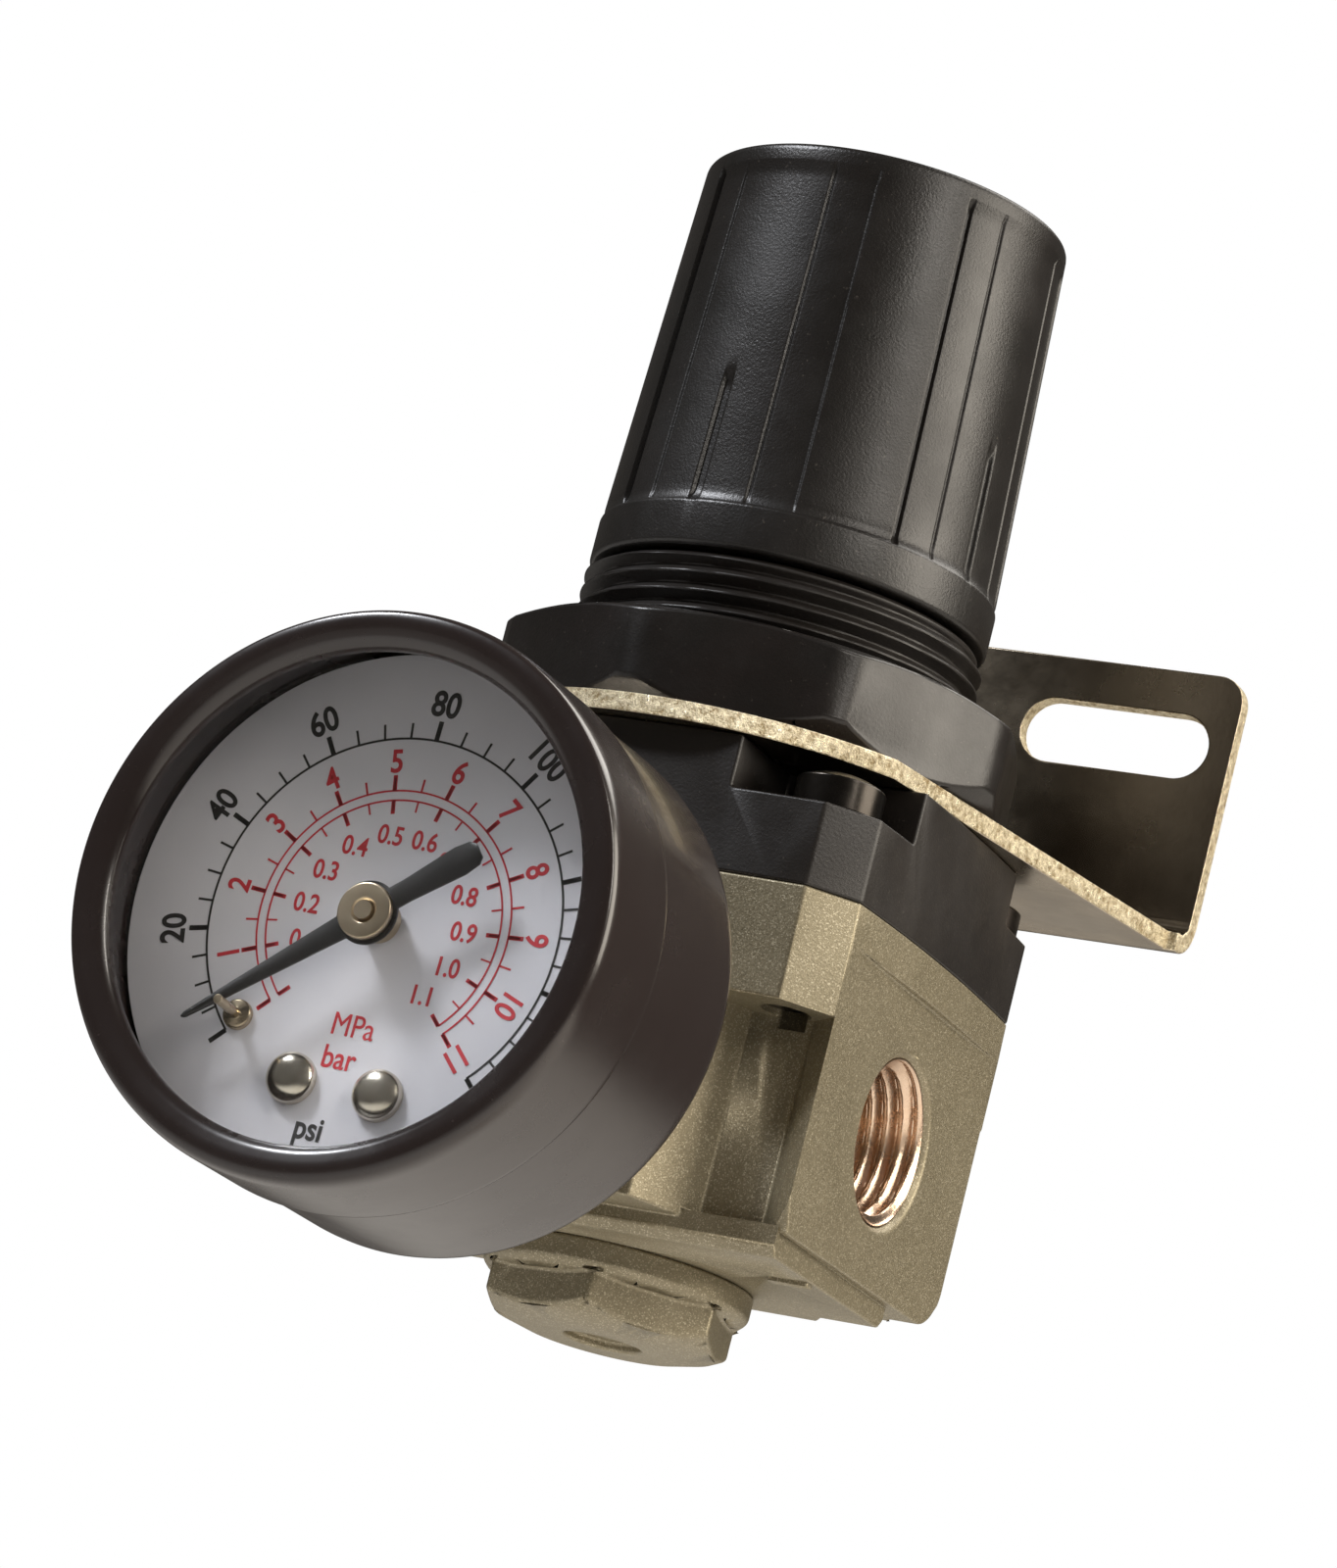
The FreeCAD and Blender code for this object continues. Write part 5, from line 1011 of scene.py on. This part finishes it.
def add_lamp(name, turn, rise, distance, width, height, power, tone, aim=(0.0, -0.045, -0.015)):
    """A soft rectangular lamp at an angle round the part and above its horizon, aimed at it."""
    lamp = bpy.data.lights.new(name, "AREA")
    lamp.shape = "RECTANGLE"
    lamp.size, lamp.size_y = width, height
    lamp.energy, lamp.color = power, tone
    holder = bpy.data.objects.new(name, lamp)
    bpy.context.scene.collection.objects.link(holder)
    a, e = math.radians(turn), math.radians(rise)
    away = Vector((math.sin(a) * math.cos(e), -math.cos(a) * math.cos(e), math.sin(e)))
    holder.location = Vector(aim) + away * distance
    holder.rotation_euler = (-away).to_track_quat("-Z", "Y").to_euler()
    return holder


floor = add_floor()
add_lamp("key_right", 100, 20, 0.80, 0.50, 0.55, 6.0, (1.0, 0.92, 0.80))
add_lamp("strip_front", 60, 30, 0.75, 0.05, 0.40, 1.8, (1.0, 0.94, 0.86))
add_lamp("dial_lamp", -50, 45, 0.80, 0.14, 0.14, 5.5, (0.93, 0.95, 1.0))
add_lamp("top_back", 150, 55, 0.9, 0.5, 0.5, 4.0, (1.0, 0.95, 0.88))

world = bpy.data.worlds.new("studio")
bpy.context.scene.world = world
world.use_nodes = True
sky = world.node_tree
seen = sky.nodes.new("ShaderNodeBackground")
seen.inputs["Color"].default_value = (1.0, 1.0, 1.0, 1.0)
seen.inputs["Strength"].default_value = 1.0
dim = sky.nodes["Background"]
dim.inputs["Color"].default_value = (1.0, 0.93, 0.84, 1.0)
dim.inputs["Strength"].default_value = 0.08
who = sky.nodes.new("ShaderNodeLightPath")
pick = sky.nodes.new("ShaderNodeMixShader")
sky.links.new(who.outputs["Is Camera Ray"], pick.inputs["Fac"])
sky.links.new(dim.outputs["Background"], pick.inputs[1])
sky.links.new(seen.outputs["Background"], pick.inputs[2])
sky.links.new(pick.outputs["Shader"], sky.nodes["World Output"].inputs["Surface"])
bpy.context.scene.view_settings.view_transform = "Standard"

# %% [markdown]
# The dressed part must keep the size of the engineering model. The engineering model's box, taken before
# any piece was built, is printed at the end.

# %% Sizes and the end
print("cad box", [[round(v, 4) for v in c] for c in cad_box])
